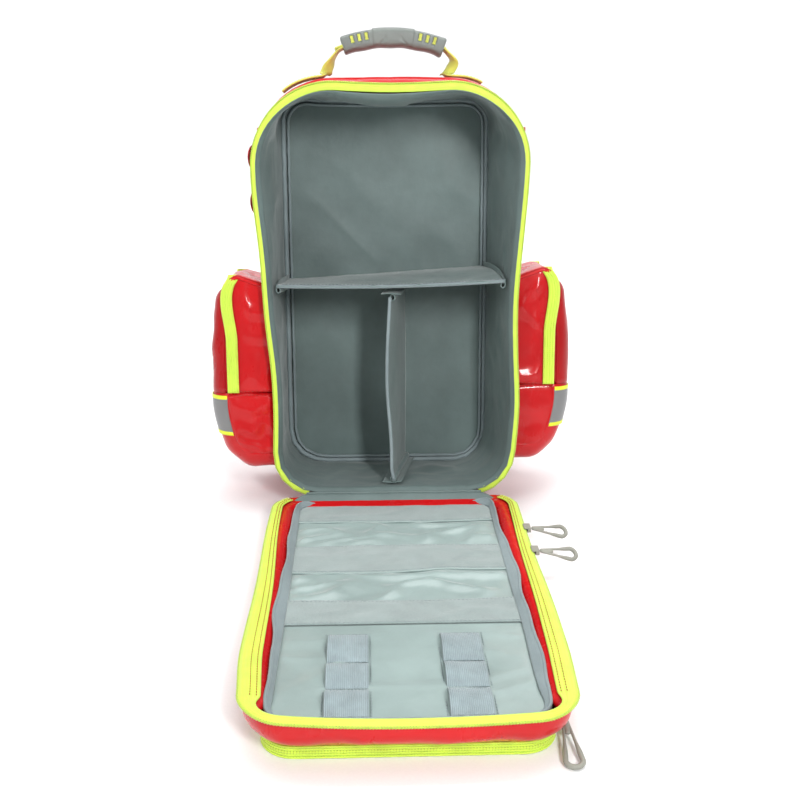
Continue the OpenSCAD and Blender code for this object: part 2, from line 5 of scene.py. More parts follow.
import bpy
import numpy as np
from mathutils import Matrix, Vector


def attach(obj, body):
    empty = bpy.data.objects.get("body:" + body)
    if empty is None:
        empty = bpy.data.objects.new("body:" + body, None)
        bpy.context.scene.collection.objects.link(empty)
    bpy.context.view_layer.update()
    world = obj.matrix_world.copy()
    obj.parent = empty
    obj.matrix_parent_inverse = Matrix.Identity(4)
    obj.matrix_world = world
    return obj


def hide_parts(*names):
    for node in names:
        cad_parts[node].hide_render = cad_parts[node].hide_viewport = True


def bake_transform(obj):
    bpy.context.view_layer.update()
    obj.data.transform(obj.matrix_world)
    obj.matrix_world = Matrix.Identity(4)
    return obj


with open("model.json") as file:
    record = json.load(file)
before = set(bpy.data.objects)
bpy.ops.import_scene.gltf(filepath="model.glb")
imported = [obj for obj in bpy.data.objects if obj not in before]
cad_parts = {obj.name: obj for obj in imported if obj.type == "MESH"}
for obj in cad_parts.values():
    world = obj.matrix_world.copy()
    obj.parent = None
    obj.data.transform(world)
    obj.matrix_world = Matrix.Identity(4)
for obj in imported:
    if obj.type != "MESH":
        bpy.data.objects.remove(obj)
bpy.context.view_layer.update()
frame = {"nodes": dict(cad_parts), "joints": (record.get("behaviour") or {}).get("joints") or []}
MM = 0.001

# ---------------------------------------------------------------- the frame's own directions
joints = {j["name"]: j for j in frame["joints"]}
HINGE = np.array(joints["door_hinge"]["pos_m"])
FORWARD = np.array(joints["shelf_slide"]["axis"])          # out of the compartment
UP = np.array(joints["left_pocket_slider_travel"]["axis"])  # along the compartment's back
AWAY = np.array(joints["lower_slider_travel"]["axis"])      # along the door, from the hinge
DOOR_UP = np.array([0.0, AWAY[2], -AWAY[1]])
X = np.array([1.0, 0.0, 0.0])


def body_point(x, v, u):
    """Row-frame point of the compartment: x across, v back from the opening, u up, in mm."""
    x, v, u = np.broadcast_arrays(x, v, u)
    return HINGE + MM * (x[..., None] * X - v[..., None] * FORWARD + u[..., None] * UP)


def door_point(x, s, h):
    """Row-frame point of the door: x across, s away from the hinge, h above the rim, in mm."""
    x, s, h = np.broadcast_arrays(x, s, h)
    return HINGE + MM * (x[..., None] * X + s[..., None] * AWAY + h[..., None] * DOOR_UP)


def ground_point(x, s, z):
    """Row-frame point at s in front of the hinge and z above the ground, in mm."""
    x, s, z = np.broadcast_arrays(np.float64(x), np.float64(s), np.float64(z))
    flat = np.array([0.0, HINGE[1], 0.0])
    return flat + MM * np.stack([x, -s, z], axis=-1)


# ---------------------------------------------------------------- camera and light
CAMERA_AT = (-0.0325, -1.1084, 0.5762)
YAW, PITCH = 1.863, 19.196
camera_data = bpy.data.cameras.new("camera")
camera_data.lens = 47.9
camera_data.sensor_width = 36.0
camera = bpy.data.objects.new("camera", camera_data)
bpy.context.scene.collection.objects.link(camera)
camera.location = CAMERA_AT
camera.rotation_euler = (math.radians(90 - PITCH), 0.0, math.radians(-YAW))
bpy.context.scene.camera = camera


def area_light(name, at, aim, size, power, colour=(1, 1, 1)):
    data = bpy.data.lights.new(name, "AREA")
    data.shape = "RECTANGLE"
    data.size, data.size_y = size
    data.energy = power
    data.color = colour
    light = bpy.data.objects.new(name, data)
    bpy.context.scene.collection.objects.link(light)
    light.location = at
    light.rotation_euler = (Vector(aim) - Vector(at)).to_track_quat("-Z", "Y").to_euler()


area_light("key", (0.62, -1.9, 1.35), (0, 0.2, 0.25), (0.22, 0.75), 36)
area_light("fill", (-1.5, -1.5, 1.5), (0, 0.0, 0.25), (0.8, 1.0), 17)
area_light("overhead", (0.1, -0.1, 2.3), (0, 0, 0), (1.8, 1.0), 14)
area_light("backdrop", (0, 0.9, 3.2), (0, 3.6, 0.0), (5.0, 1.2), 150)
area_light("rear", (0.6, 2.2, 1.6), (0, 0.2, 0.3), (1.6, 1.2), 12)
bpy.context.scene.view_settings.view_transform = "Standard"

world = bpy.data.worlds.new("studio")
bpy.context.scene.world = world
world.use_nodes = True
world.node_tree.nodes["Background"].inputs[0].default_value = (0.95, 0.96, 1.0, 1)
world.node_tree.nodes["Background"].inputs[1].default_value = 0.3


# ---------------------------------------------------------------- materials
class Nodes:
    """Small helper that wires shader nodes for one material."""

    def __init__(self, name):
        self.material = bpy.data.materials.new(name)
        self.material.use_nodes = True
        self.tree = self.material.node_tree
        self.shader = self.tree.nodes["Principled BSDF"]
        self.coords = self.tree.nodes.new("ShaderNodeTexCoord")

    def add(self, kind, **values):
        node = self.tree.nodes.new("ShaderNode" + kind)
        for key, value in values.items():
            setattr(node, key, value)
        return node

    def link(self, source, target):
        self.tree.links.new(source, target)

    def set(self, **values):
        for key, value in values.items():
            self.shader.inputs[key.replace("_", " ")].default_value = value

    def scaled(self, space, scale, turn=0.0):
        mapping = self.add("Mapping")
        mapping.inputs["Scale"].default_value = scale
        mapping.inputs["Rotation"].default_value = (0, 0, turn)
        self.link(self.coords.outputs[space], mapping.inputs["Vector"])
        return mapping.outputs["Vector"]

    def noise(self, scale, detail=3.0, roughness=0.5, space="Object", stretch=(1, 1, 1)):
        node = self.add("TexNoise")
        node.inputs["Scale"].default_value = scale
        node.inputs["Detail"].default_value = detail
        node.inputs["Roughness"].default_value = roughness
        self.link(self.scaled(space, stretch), node.inputs["Vector"])
        return node.outputs["Fac"]

    def wave(self, scale, axis="X", space="UV", distortion=0.0, turn=0.0, profile="SIN"):
        node = self.add("TexWave", wave_type="BANDS", bands_direction=axis, wave_profile=profile)
        node.inputs["Scale"].default_value = scale
        node.inputs["Distortion"].default_value = distortion
        self.link(self.scaled(space, (1, 1, 1), turn), node.inputs["Vector"])
        return node.outputs["Fac"]

    def math(self, operation, a, b):
        node = self.add("Math", operation=operation)
        for socket, value in zip(node.inputs, (a, b)):
            if isinstance(value, (int, float)):
                socket.default_value = value
            else:
                self.link(value, socket)
        return node.outputs[0]

    def ramp(self, fac, *stops):
        node = self.add("ValToRGB")
        ramp = node.color_ramp
        while len(ramp.elements) < len(stops):
            ramp.elements.new(0.5)
        for element, (at, colour) in zip(ramp.elements, stops):
            element.position = at
            element.color = (*colour, 1.0) if len(colour) == 3 else colour
        self.link(fac, node.inputs["Fac"])
        return node.outputs["Color"]

    def grey(self, fac, low, high, at=(0.0, 1.0)):
        return self.ramp(fac, (at[0], (low,) * 3), (at[1], (high,) * 3))

    def colour(self, output):
        self.link(output, self.shader.inputs["Base Color"])

    def rough(self, output):
        self.link(output, self.shader.inputs["Roughness"])

    def bump(self, *layers):
        """Layers of (height, strength, distance in mm), the last one nearest the surface."""
        normal = None
        for height, strength, distance in layers:
            node = self.add("Bump")
            node.inputs["Strength"].default_value = strength
            node.inputs["Distance"].default_value = distance * MM
            self.link(height, node.inputs["Height"])
            if normal:
                self.link(normal, node.inputs["Normal"])
            normal = node.outputs["Normal"]
        self.link(normal, self.shader.inputs["Normal"])

    def mixed(self, fac, a, b):
        node = self.add("Mix", data_type="RGBA")
        for socket, value in ((node.inputs[0], fac), (node.inputs[6], a), (node.inputs[7], b)):
            if isinstance(value, tuple):
                socket.default_value = (*value, 1.0)
            else:
                self.link(value, socket)
        return node.outputs[2]


TURN = 2 * math.pi


def threads(pitch_mm):
    """Wave scale that gives one band for each pitch, on UVs or coordinates in metres."""
    return 1.0 / (pitch_mm * MM) * TURN / 20.0


def shade(colour, factor):
    return tuple(min(1.0, c * factor) for c in colour)


def tarpaulin(name, colour):
    """Glossy coated fabric: a faint thread grid under a wet-looking coat, soft large wrinkles."""
    m = Nodes(name)
    large = m.noise(9, 4, 0.55)
    streaks = m.noise(22, 5, 0.6, stretch=(1.0, 1.6, 0.5))
    m.colour(m.ramp(large, (0.25, shade(colour, 0.8)), (0.6, colour), (0.85, shade(colour, 1.12))))
    m.rough(m.grey(streaks, 0.2, 0.36))
    grid = m.math("MULTIPLY", m.wave(threads(1.6), "X"), m.wave(threads(1.6), "Y"))
    m.bump((large, 0.55, 6.0), (streaks, 0.35, 2.2), (grid, 0.1, 0.12))
    m.set(Coat_Weight=0.32, Coat_Roughness=0.06, Specular_IOR_Level=0.14)
    return m.material


def zip_tape(name, colour):
    """Woven zip tape: lengthwise cords, fine herringbone and a slight sheen."""
    m = Nodes(name)
    cords = m.wave(threads(2.6), "Y")
    weave = m.math("MULTIPLY", m.wave(threads(0.9), "X", turn=0.7), m.wave(threads(0.9), "X", turn=-0.7))
    mottled = m.noise(60, 3)
    m.colour(m.mixed(m.grey(weave, 0.0, 0.5),
                     m.ramp(mottled, (0.3, shade(colour, 0.86)), (0.7, colour)), shade(colour, 0.7)))
    m.bump((cords, 0.5, 0.4), (weave, 0.4, 0.2))
    m.set(Roughness=0.55, Sheen_Weight=0.25, Sheen_Roughness=0.4)
    return m.material


def plain_weave(name, colour, pitch=0.7, rough=0.5, sheen=0.3, contrast=0.82, turn=0.0, silky=0.0):
    """Woven cloth with crossed threads, uneven dye and soft creases."""
    m = Nodes(name)
    cross = m.math("MULTIPLY", m.wave(threads(pitch), "X", turn=turn), m.wave(threads(pitch), "Y", turn=turn))
    cloudy = m.noise(12, 5, 0.6)
    creases = m.noise(34, 4, 0.55, stretch=(1.0, 1.0, 0.45))
    base = m.ramp(cloudy, (0.3, shade(colour, contrast)), (0.7, shade(colour, 2 - contrast)))
    m.colour(m.mixed(m.grey(cross, 0.0, 0.35), base, shade(colour, 0.62)))
    m.rough(m.grey(creases, rough - 0.08, rough + 0.1))
    m.bump((cloudy, 0.35, 3.5), (creases, 0.35, 1.2), (cross, 0.35, 0.14))
    m.set(Sheen_Weight=sheen, Sheen_Roughness=0.35, Specular_IOR_Level=0.35 + silky)
    return m.material


def loop_pile(name, colour):
    """Loop side of hook-and-loop tape: matted, light-catching fuzz."""
    m = Nodes(name)
    fuzz = m.noise(900, 4, 0.75)
    patches = m.noise(45, 4, 0.6)
    m.colour(m.mixed(m.grey(fuzz, 0.0, 0.7, (0.35, 0.65)),
                     m.ramp(patches, (0.3, shade(colour, 0.8)), (0.7, shade(colour, 1.15))),
                     shade(colour, 1.5)))
    m.bump((patches, 0.3, 1.5), (fuzz, 0.9, 0.7))
    m.set(Roughness=0.85, Sheen_Weight=0.5, Sheen_Roughness=0.5)
    return m.material


def ribbed(name, colour, pitch, depth=0.5, axis="X", rough=0.6, sheen=0.3):
    """Webbing or elastic: strong ribs one way, a fine thread grid over them."""
    m = Nodes(name)
    ribs = m.wave(threads(pitch), axis)
    fine = m.wave(threads(pitch * 0.45), "Y" if axis == "X" else "X", distortion=0.6)
    wear = m.noise(70, 4, 0.6)
    base = m.ramp(wear, (0.3, shade(colour, 0.8)), (0.7, shade(colour, 1.12)))
    # The grooves between the ribs are painted darker, down to 0.55 of the colour, as painted shade.
    m.colour(m.mixed(m.grey(ribs, 0.55, 0.0), base, shade(colour, 0.55)))
    m.bump((ribs, 0.8, depth), (fine, 0.4, depth * 0.35))
    m.set(Roughness=rough, Sheen_Weight=sheen, Sheen_Roughness=0.4)
    return m.material


def moulded(name, colour, rough=0.5, grain=0.25, coat=0.0):
    """Moulded plastic or rubber with spark-eroded grain and polished, worn high spots."""
    m = Nodes(name)
    fine = m.noise(1400, 3, 0.6)
    worn = m.noise(30, 5, 0.6)
    m.colour(m.ramp(worn, (0.3, shade(colour, 0.82)), (0.75, shade(colour, 1.15))))
    m.rough(m.grey(worn, rough - 0.1, rough + 0.12))
    m.bump((worn, 0.15, 0.6), (fine, grain, 0.25))
    m.set(Coat_Weight=coat, Coat_Roughness=0.2)
    return m.material


def reflective(name):
    """Retroreflective tape: bright beads in a fine diagonal mesh of cells."""
    m = Nodes(name)
    cells = m.math("MULTIPLY", m.wave(threads(2.2), "X", turn=0.785), m.wave(threads(2.2), "Y", turn=0.785))
    beads = m.noise(1600, 2)
    m.colour(m.mixed(m.grey(cells, 0.0, 0.4), m.grey(beads, 0.13, 0.21), (0.27, 0.27, 0.27)))
    m.bump((cells, 0.25, 0.2), (beads, 0.3, 0.08))
    m.set(Roughness=0.42, Metallic=0.15, Coat_Weight=0.15)
    return m.material


def coloured_stitch(name, colour):
    """Twisted sewing thread."""
    m = Nodes(name)
    twist = m.wave(threads(0.6), "X", space="Object")
    m.colour(m.mixed(m.grey(twist, 0.0, 0.6), colour, shade(colour, 0.55)))
    m.bump((twist, 0.5, 0.1))
    m.set(Roughness=0.6)
    return m.material


RED = (0.53, 0.008, 0.010)
LIME = (0.64, 0.86, 0.075)
GREY = (0.135, 0.182, 0.175)
M_RED = tarpaulin("red_tarpaulin", RED)
# A copy of the red darkened to 0.72 as painted shade, for the base wall, the piping and the side pocket
# flaps.
M_SHADED_RED = tarpaulin("shaded_red_tarpaulin", shade(RED, 0.72))
M_LIME = zip_tape("lime_zip_tape", LIME)
M_COIL = ribbed("lime_zip_coil", shade(LIME, 0.85), 1.3, 0.6)
M_LINING = plain_weave("grey_lining", GREY, 0.8, 0.42, 0.25)
# A copy of the lining grey brightened 1.15 times as painted light, for the shelf and the hook rolls.
M_LIT_LINING = plain_weave("lit_lining_cloth", shade(GREY, 1.15), 0.8, 0.45, 0.3)
M_SILVER = plain_weave("organiser_cloth", (0.275, 0.352, 0.337), 0.7, 0.33, 0.4, 0.86, silky=0.2)
M_HEM = plain_weave("grey_binding", (0.22, 0.27, 0.28), 1.0, 0.55, 0.4)
M_PILE = loop_pile("loop_pile", (0.19, 0.24, 0.232))
M_ELASTIC = ribbed("grey_elastic", (0.30, 0.38, 0.40), 1.7, 0.5, axis="Y", rough=0.5)
M_YELLOW = ribbed("yellow_webbing", (0.80, 0.83, 0.15), 1.6, 0.4)
M_RED_WEB = ribbed("red_webbing", (0.55, 0.01, 0.015), 1.6, 0.4)
M_BLACK_WEB = ribbed("black_webbing", (0.018, 0.018, 0.02), 1.6, 0.4)
M_MESH = plain_weave("black_spacer_mesh", (0.02, 0.02, 0.022), 2.4, 0.7, 0.4)
M_BLACK = plain_weave("black_cordura", (0.018, 0.018, 0.02), 0.9, 0.6, 0.3)
M_GRIP = moulded("grip_rubber", (0.165, 0.185, 0.17), 0.48, 0.3)
M_GUARD = moulded("base_rubber", (0.02, 0.02, 0.02), 0.55, 0.5)
M_PLASTIC = moulded("black_plastic", (0.02, 0.02, 0.022), 0.4, 0.3)
M_PULL = moulded("pull_grey", (0.26, 0.26, 0.22), 0.5, 0.3)
M_REFLECT = reflective("reflective_tape")
M_RED_THREAD = coloured_stitch("red_thread", (0.45, 0.02, 0.01))
M_GREY_THREAD = coloured_stitch("grey_thread", (0.3, 0.36, 0.37))
M_LIME_THREAD = coloured_stitch("lime_thread", shade(LIME, 0.8))
M_TRIM = zip_tape("yellow_piping", (0.78, 0.85, 0.02))

# ---------------------------------------------------------------- noise
RNG = np.random.default_rng(11)
SHUFFLE = np.tile(RNG.permutation(256), 2)
SLOPES = RNG.normal(size=(256, 3))
SLOPES /= np.linalg.norm(SLOPES, axis=1, keepdims=True)


def perlin(p):
    """Gradient noise of about -1 to 1, one cell to a unit, at points p[..., 3]."""
    cell = np.floor(p).astype(int)
    inside = p - cell
    fade = inside ** 3 * (inside * (inside * 6 - 15) + 10)
    total = np.zeros(p.shape[:-1])
    for corner in np.ndindex(2, 2, 2):
        c = (cell + corner) & 255
        slope = SLOPES[SHUFFLE[SHUFFLE[SHUFFLE[c[..., 0]] + c[..., 1]] + c[..., 2]]]
        weight = np.prod(np.where(corner, fade, 1 - fade), axis=-1)
        total += weight * (slope * (inside - corner)).sum(-1)
    return 1.6 * total


def waves(p, size_mm, octaves=2, shift=0.0):
    """Smooth swelling of about -1 to 1 with lumps of about size_mm."""
    q = p / (size_mm * MM) + shift
    return sum(perlin(q * 2 ** k + 5.3 * k) / 2 ** k for k in range(octaves)) / 1.5


def creases(p, size_mm, shift=0.0, sharp=1.6):
    """Sharp-crested folds, 0 to 1, with cells of about size_mm."""
    q = p / (size_mm * MM) + shift
    bent = q + 0.45 * np.stack([perlin(q * 0.7 + k * 9.1) for k in (1, 2, 3)], axis=-1)
    return np.clip(1 - 2.2 * np.abs(perlin(bent)), 0, 1) ** sharp


# ---------------------------------------------------------------- mesh making
def unit(v):
    return v / np.maximum(np.linalg.norm(v, axis=-1, keepdims=True), 1e-12)


def slope(grid, axis, closed=False):
    if closed:
        return np.roll(grid, -1, axis) - np.roll(grid, 1, axis)
    return np.gradient(grid, axis=axis)


def grid_normals(grid, closed=False):
    return unit(np.cross(slope(grid, 1, closed), slope(grid, 0)))


def run(grid, axis, closed=False):
    """Distance in metres along an axis of a grid, from its first point."""
    step = np.linalg.norm(np.diff(grid, axis=axis), axis=-1).mean(1 - axis)
    if closed:
        step = np.append(step, step.mean())
    return np.concatenate([[0.0], np.cumsum(step)])


class Shape:
    """Collects parts of one piece: rows of points become quads with UVs in metres."""

    def __init__(self):
        self.points, self.faces, self.uvs, self.count = [], [], [], 0

    def take(self, points):
        start = self.count
        self.points.append(points.reshape(-1, 3))
        self.count += len(self.points[-1])
        return start + np.arange(self.count - start).reshape(points.shape[:-1])

    def quads(self, index, u, v, closed=False, flip=False):
        if closed:
            index = np.concatenate([index, index[:, :1]], axis=1)
        uv = np.stack(np.meshgrid(u[:index.shape[1]], v[:index.shape[0]]), axis=-1)
        corners = [(slice(None, -1), slice(None, -1)), (slice(None, -1), slice(1, None)),
                   (slice(1, None), slice(1, None)), (slice(1, None), slice(None, -1))]
        if flip:
            corners = corners[::-1]
        self.faces.append(np.stack([index[c] for c in corners], axis=-1).reshape(-1, 4))
        self.uvs.append(np.stack([uv[c] for c in corners], axis=-2).reshape(-1, 4, 2))

    def sheet(self, grid, thickness, closed=False):
        """Cloth of a thickness in mm along a grid, with rounded edges all round."""
        grid = np.asarray(grid, float)
        reach = np.mean(thickness) * MM / 2

        def grown(g, axis):
            first, last = np.take(g, [0], axis), np.take(g, [-1], axis)
            second, before = np.take(g, [1], axis), np.take(g, [-2], axis)
            return np.concatenate([first + reach * unit(first - second), g,
                                   last + reach * unit(last - before)], axis=axis)

        full = grown(grid, 0) if closed else grown(grown(grid, 0), 1)
        half = np.broadcast_to(np.asarray(thickness, float) * MM / 2, grid.shape[:2])
        pad = ((1, 1), (0, 0)) if closed else ((1, 1), (1, 1))
        half = np.pad(half, pad)
        normal = grid_normals(full, closed)
        top = self.take(full + half[..., None] * normal)
        under = self.take(full - half[..., None] * normal)
        edge = half == 0
        under[edge] = top[edge]
        u, v = run(full, 1, closed), run(full, 0)
        self.quads(top, u, v, closed)
        self.quads(under, u, v, closed, flip=True)

    def tube(self, path, radius, sides=8, closed=False, flat=1.0, across=None):
        """Round or flattened tube along a path; radius in mm, one or one for each point."""
        path = np.asarray(path, float)
        tangent = unit(slope(path, 0, closed))
        if across is None:
            start = np.array([0, 0, 1.0]) if abs(tangent[0][2]) < 0.9 else X
            side = [unit(np.cross(tangent[0], start))]
            for t in tangent[1:]:
                side.append(unit(side[-1] - t * (side[-1] @ t)))
            side = np.array(side)
        else:
            side = unit(np.broadcast_to(across, path.shape))
            side = unit(side - tangent * (side * tangent).sum(-1, keepdims=True))
        other = np.cross(tangent, side)
        radius = np.broadcast_to(np.asarray(radius, float) * MM, len(path))
        angle = TURN * np.arange(sides) / sides
        ring = (np.cos(angle)[None, :, None] * side[:, None]
                + flat * np.sin(angle)[None, :, None] * other[:, None])
        grid = path[:, None] + radius[:, None, None] * ring
        length = np.concatenate([[0], np.cumsum(np.linalg.norm(np.diff(path, axis=0), axis=1))])
        around = radius.mean() * TURN * np.arange(sides + 1) / sides
        if closed:
            index = self.take(grid)
            index = np.concatenate([index, index[:1]])
            length = np.append(length, length[-1] + length[1])
        else:
            ends = [path[:1, None] - tangent[0] * radius[0] * 0.5,
                    path[-1:, None] + tangent[-1] * radius[-1] * 0.5]
            first, index, last = self.take(ends[0]), self.take(grid), self.take(ends[1])
            for tip, loop, turn in ((first[0, 0], index[0], 1), (last[0, 0], index[-1], -1)):
                following = np.roll(loop, -1)
                fan = np.stack([np.full(sides, tip), following, loop][::turn] + [loop * 0 - 1], -1)
                self.faces.append(fan)
                self.uvs.append(np.zeros((sides, 4, 2)))
        self.quads(index, around, length, closed=True)

    def panel_fan(self, grid, flip=False):
        """One-sided cloth that fills a closed outline; its rows run from the edge to a middle line."""
        index = self.take(grid)
        self.quads(index, run(grid, 1, True), run(grid, 0), closed=True, flip=flip)

    def seeds(self, start, end, radius, flat=1.0):
        """Many small spindles, such as stitches or coil teeth, between pairs of points."""
        start, end = np.asarray(start, float), np.asarray(end, float)
        along = unit(end - start)
        side = unit(np.cross(along, np.array([0.03, 0.31, 1.0])))
        other = np.cross(along, side) * flat
        r = radius * MM
        rings = [start] + [mix(start, end, t) + r * (a * side + b * other)
                           for t in (0.2, 0.8) for a, b in ((1, 0), (0, 1), (-1, 0), (0, -1))] + [end]
        index = self.take(np.stack(rings, axis=1))
        faces = [(0, 2, 1, -1), (0, 3, 2, -1), (0, 4, 3, -1), (0, 1, 4, -1),
                 (1, 2, 6, 5), (2, 3, 7, 6), (3, 4, 8, 7), (4, 1, 5, 8),
                 (5, 6, 9, -1), (6, 7, 9, -1), (7, 8, 9, -1), (8, 5, 9, -1)]
        for face in faces:
            columns = [index[:, k] if k >= 0 else np.full(len(index), -1) for k in face]
            self.faces.append(np.stack(columns, axis=-1))
            self.uvs.append(np.zeros((len(index), 4, 2)))

    def make(self, name, material, body=None, slot=None, replaces=()):
        points, faces = np.concatenate(self.points), np.concatenate(self.faces)
        uvs = np.concatenate(self.uvs)
        present = faces >= 0
        mesh = bpy.data.meshes.new(name)
        mesh.vertices.add(len(points))
        mesh.vertices.foreach_set("co", points.ravel())
        sizes = present.sum(1)
        mesh.loops.add(int(sizes.sum()))
        mesh.loops.foreach_set("vertex_index", faces[present].astype(np.int32))
        mesh.polygons.add(len(faces))
        starts = np.concatenate([[0], np.cumsum(sizes)[:-1]])
        mesh.polygons.foreach_set("loop_start", starts.astype(np.int32))
        mesh.polygons.foreach_set("use_smooth", np.ones(len(faces), bool))
        layer = mesh.uv_layers.new(name="UVMap")
        layer.data.foreach_set("uv", uvs[present].astype(np.float32).ravel())
        mesh.update(calc_edges=True)
        mesh.validate()
        mesh.materials.append(material)
        piece = bpy.data.objects.new(name, mesh)
        bpy.context.scene.collection.objects.link(piece)
        if body:
            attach(piece, body)
        if replaces:
            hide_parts(*replaces)
        return piece


def mix(a, b, t):
    return a + (b - a) * t


def smooth(t):
    t = np.clip(t, 0, 1)
    return t * t * (3 - 2 * t)


def push(grid, amount_mm, closed=False):
    """Moves the points of a grid along its normals."""
    return grid + MM * np.asarray(amount_mm)[..., None] * grid_normals(grid, closed)


def arc(cx, cy, r, a0, a1, n):
    a = np.radians(np.linspace(a0, a1, n))
    return np.stack([cx + r * np.cos(a), cy + r * np.sin(a)], axis=-1)


def even(path, step):
    """The same polyline with points about step apart, its ends kept."""
    path = np.asarray(path, float)
    along = np.concatenate([[0], np.cumsum(np.linalg.norm(np.diff(path, axis=0), axis=1))])
    count = max(2, int(round(along[-1] / step)) + 1)
    where = np.linspace(0, along[-1], count)
    return np.stack([np.interp(where, along, path[:, k]) for k in range(path.shape[1])], axis=-1)


def rows_of(values, maker):
    return np.stack([maker(value) for value in values])


def stitch_line(shape, path, spacing=4.4, length=3.0, radius=0.62):
    """A row of stitches along a line of points in metres."""
    line = even(path, spacing * MM)
    ahead = unit(np.gradient(line, axis=0)) * length * MM / 2
    shape.seeds(line - ahead, line + ahead, radius)


# ---------------------------------------------------------------- compartment
BODY_H, RIM_LOW, RIM_HIGH, BACK_W, BODY_D = 500.0, 298.0, 328.0, 286.0, 145.0
TOP_R, TOP_BACK_R, LOW_R, LOW_LINE = 95.0, 38.0, 56.0, -4.0
LOW_U = LOW_R + LOW_LINE
FLANGE_V, FLANGE_T = 1.0, 2.5
WALL_IN, WALL_T = 4.0, 3.0


def half_w(u, v):
    return mix(mix(RIM_LOW, RIM_HIGH, u / BODY_H), BACK_W, v / BODY_D) / 2


# Points on the outline's stretches: low corner, side, top corner, and all of the flat top
OUTLINE_COUNTS = (5, 44, 16, 22)


def outline(v, inset, start=-90.0, step=OUTLINE_COUNTS):
    """Outline of the compartment at depth v, from the lower right corner over the top, as (x, u).
    Its counts of points don't depend on v or inset, so that outlines make the rows of a grid."""
    corner, side, top, flat = step
    low = arc(half_w(LOW_U, v) - LOW_R, LOW_U, LOW_R - inset, start, 0, corner)
    r = mix(TOP_R, TOP_BACK_R, v / BODY_D)
    high = arc(half_w(BODY_H - r, v) - r, BODY_H - r, r - inset, 0, 90, top)
    straight = np.linspace(LOW_U, BODY_H - r, side + 2)[1:-1]
    straight = np.stack([half_w(straight, v) - inset, straight], axis=-1)
    half = np.concatenate([low, straight, high])
    x0 = half[-1, 0]
    across = np.linspace(x0, -x0, flat + 2)[1:-1]
    across = np.stack([across, np.full(flat, BODY_H - inset)], axis=-1)
    return np.concatenate([half, across, half[::-1] * (-1, 1)])


def ring_outline(v, inset, floor=30):
    """The closed outline, with the floor between the lower corners."""
    path = outline(v, inset)
    x0 = path[-1, 0]
    base = np.linspace(x0, -x0, floor + 2)[1:-1]
    return np.concatenate([path, np.stack([base, np.full(floor, LOW_LINE + inset)], axis=-1)])


def bow(path, v):
    """How far the soft walls stand out or in from the plain outline, in mm, at each point."""
    x, u = path[:, 0], path[:, 1]
    side = smooth((np.abs(x) - 90) / 50)
    edge = smooth(1 - v / 60)
    left, right = (x < 0) * side, (x > 0) * side
    swell = (left * (6.0 * np.exp(-((u - 385) / 70) ** 2) - 4.0 * np.exp(-((u - 100) / 55) ** 2)
                     - 3.5 * np.exp(-((u - 160) / 50) ** 2))
             + right * (3.0 * np.exp(-((u - 105) / 45) ** 2) - 4.5 * np.exp(-((u - 238) / 72) ** 2)
                        + 2.5 * np.exp(-((u - 400) / 60) ** 2)))
    sag = -6.0 * np.exp(-(x / 95) ** 2) * smooth((u - 430) / 50) * (1 - 0.6 * smooth(v / 100))
    racked = (left - right) * 6.0 * smooth(v / BODY_D)
    return edge * swell + sag + racked


def outward(path, closed):
    """Unit outward direction of an anticlockwise outline."""
    t = slope(path, 0, closed)
    return unit(np.stack([t[:, 1], -t[:, 0]], axis=-1))


def shell_row(v, inset, closed=True, **more):
    path = ring_outline(v, inset) if closed else outline(v, inset, **more)
    path = path + outward(path, closed) * bow(path, v)[:, None]
    return body_point(path[:, 0], v, path[:, 1])


def crown(path, v):
    """Swelling of the padded walls behind the zip: most along the top, least at the sides."""
    x, u = path[:, 0], path[:, 1]
    high = smooth((u - 405) / 85)
    top = 6.5 + 8.0 * np.exp(-(x / 95) ** 2)
    return mix(2.6, top, high) * smooth((v - 3) / 12) * (1 - smooth((v - 46) / 96))


def wall_row(v):
    path = ring_outline(v, WALL_IN + WALL_T / 2)
    path = path + outward(path, True) * (bow(path, v) + crown(path, v))[:, None]
    return body_point(path[:, 0], v, path[:, 1])


depths = np.concatenate([[4.4, 6, 8, 11], np.linspace(15, BODY_D + 1.0, 24)])
outer = rows_of(depths, wall_row)
flat_v = (depths - depths[0]) / (depths[-1] - depths[0])
puff = np.sin(np.pi * np.clip(flat_v, 0, 1))[:, None]
relief = 1.9 * waves(outer, 90) - 2.4 * creases(outer, 80) - 1.0 * creases(outer, 36, 3.0)
outer_bumpy = push(outer, -np.clip(relief + 1.2, -3.2, 2.6) * puff, closed=True)
columns = outer.shape[1]
corner, side, top, flat = OUTLINE_COUNTS
half_count = corner + side + top
spans = {
    "right_wall": (corner - 1, corner + side + 1),
    "top_wall": (corner + side, half_count + flat + top),
    "left_wall": (half_count + flat + top - 1, half_count + flat + top + side + 1),
}
for wall, (first, last) in spans.items():
    shape = Shape()
    shape.sheet(outer_bumpy[:, first:last + 1], WALL_T)
    shape.make(wall + "_cloth", M_RED, "compartment", "pvc_red", [wall])
base_columns = np.arange(half_count + flat + top + side, columns + corner) % columns
shape = Shape()
shape.sheet(outer_bumpy[:, base_columns], WALL_T)
# The base wall is dressed in the darkened red copy, as painted shade.
shape.make("base_wall_cloth", M_SHADED_RED, "compartment", "pvc_dark_red", ["base_wall"])

# Piped seams along the compartment: round the back panel and behind the zip
shape = Shape()
ring = shell_row(BODY_D + 1.5, WALL_IN - 0.5)
shape.tube(ring, 3.0, closed=True)
for first in (corner, corner + side, half_count + flat + top, half_count + flat + top + side):
    shape.tube(outer_bumpy[:, first][1:-1], 1.3, sides=6)
# The piping is dressed in the darkened red copy, as painted shade.
shape.make("body_piping", M_SHADED_RED, "compartment", "pvc_dark_red")

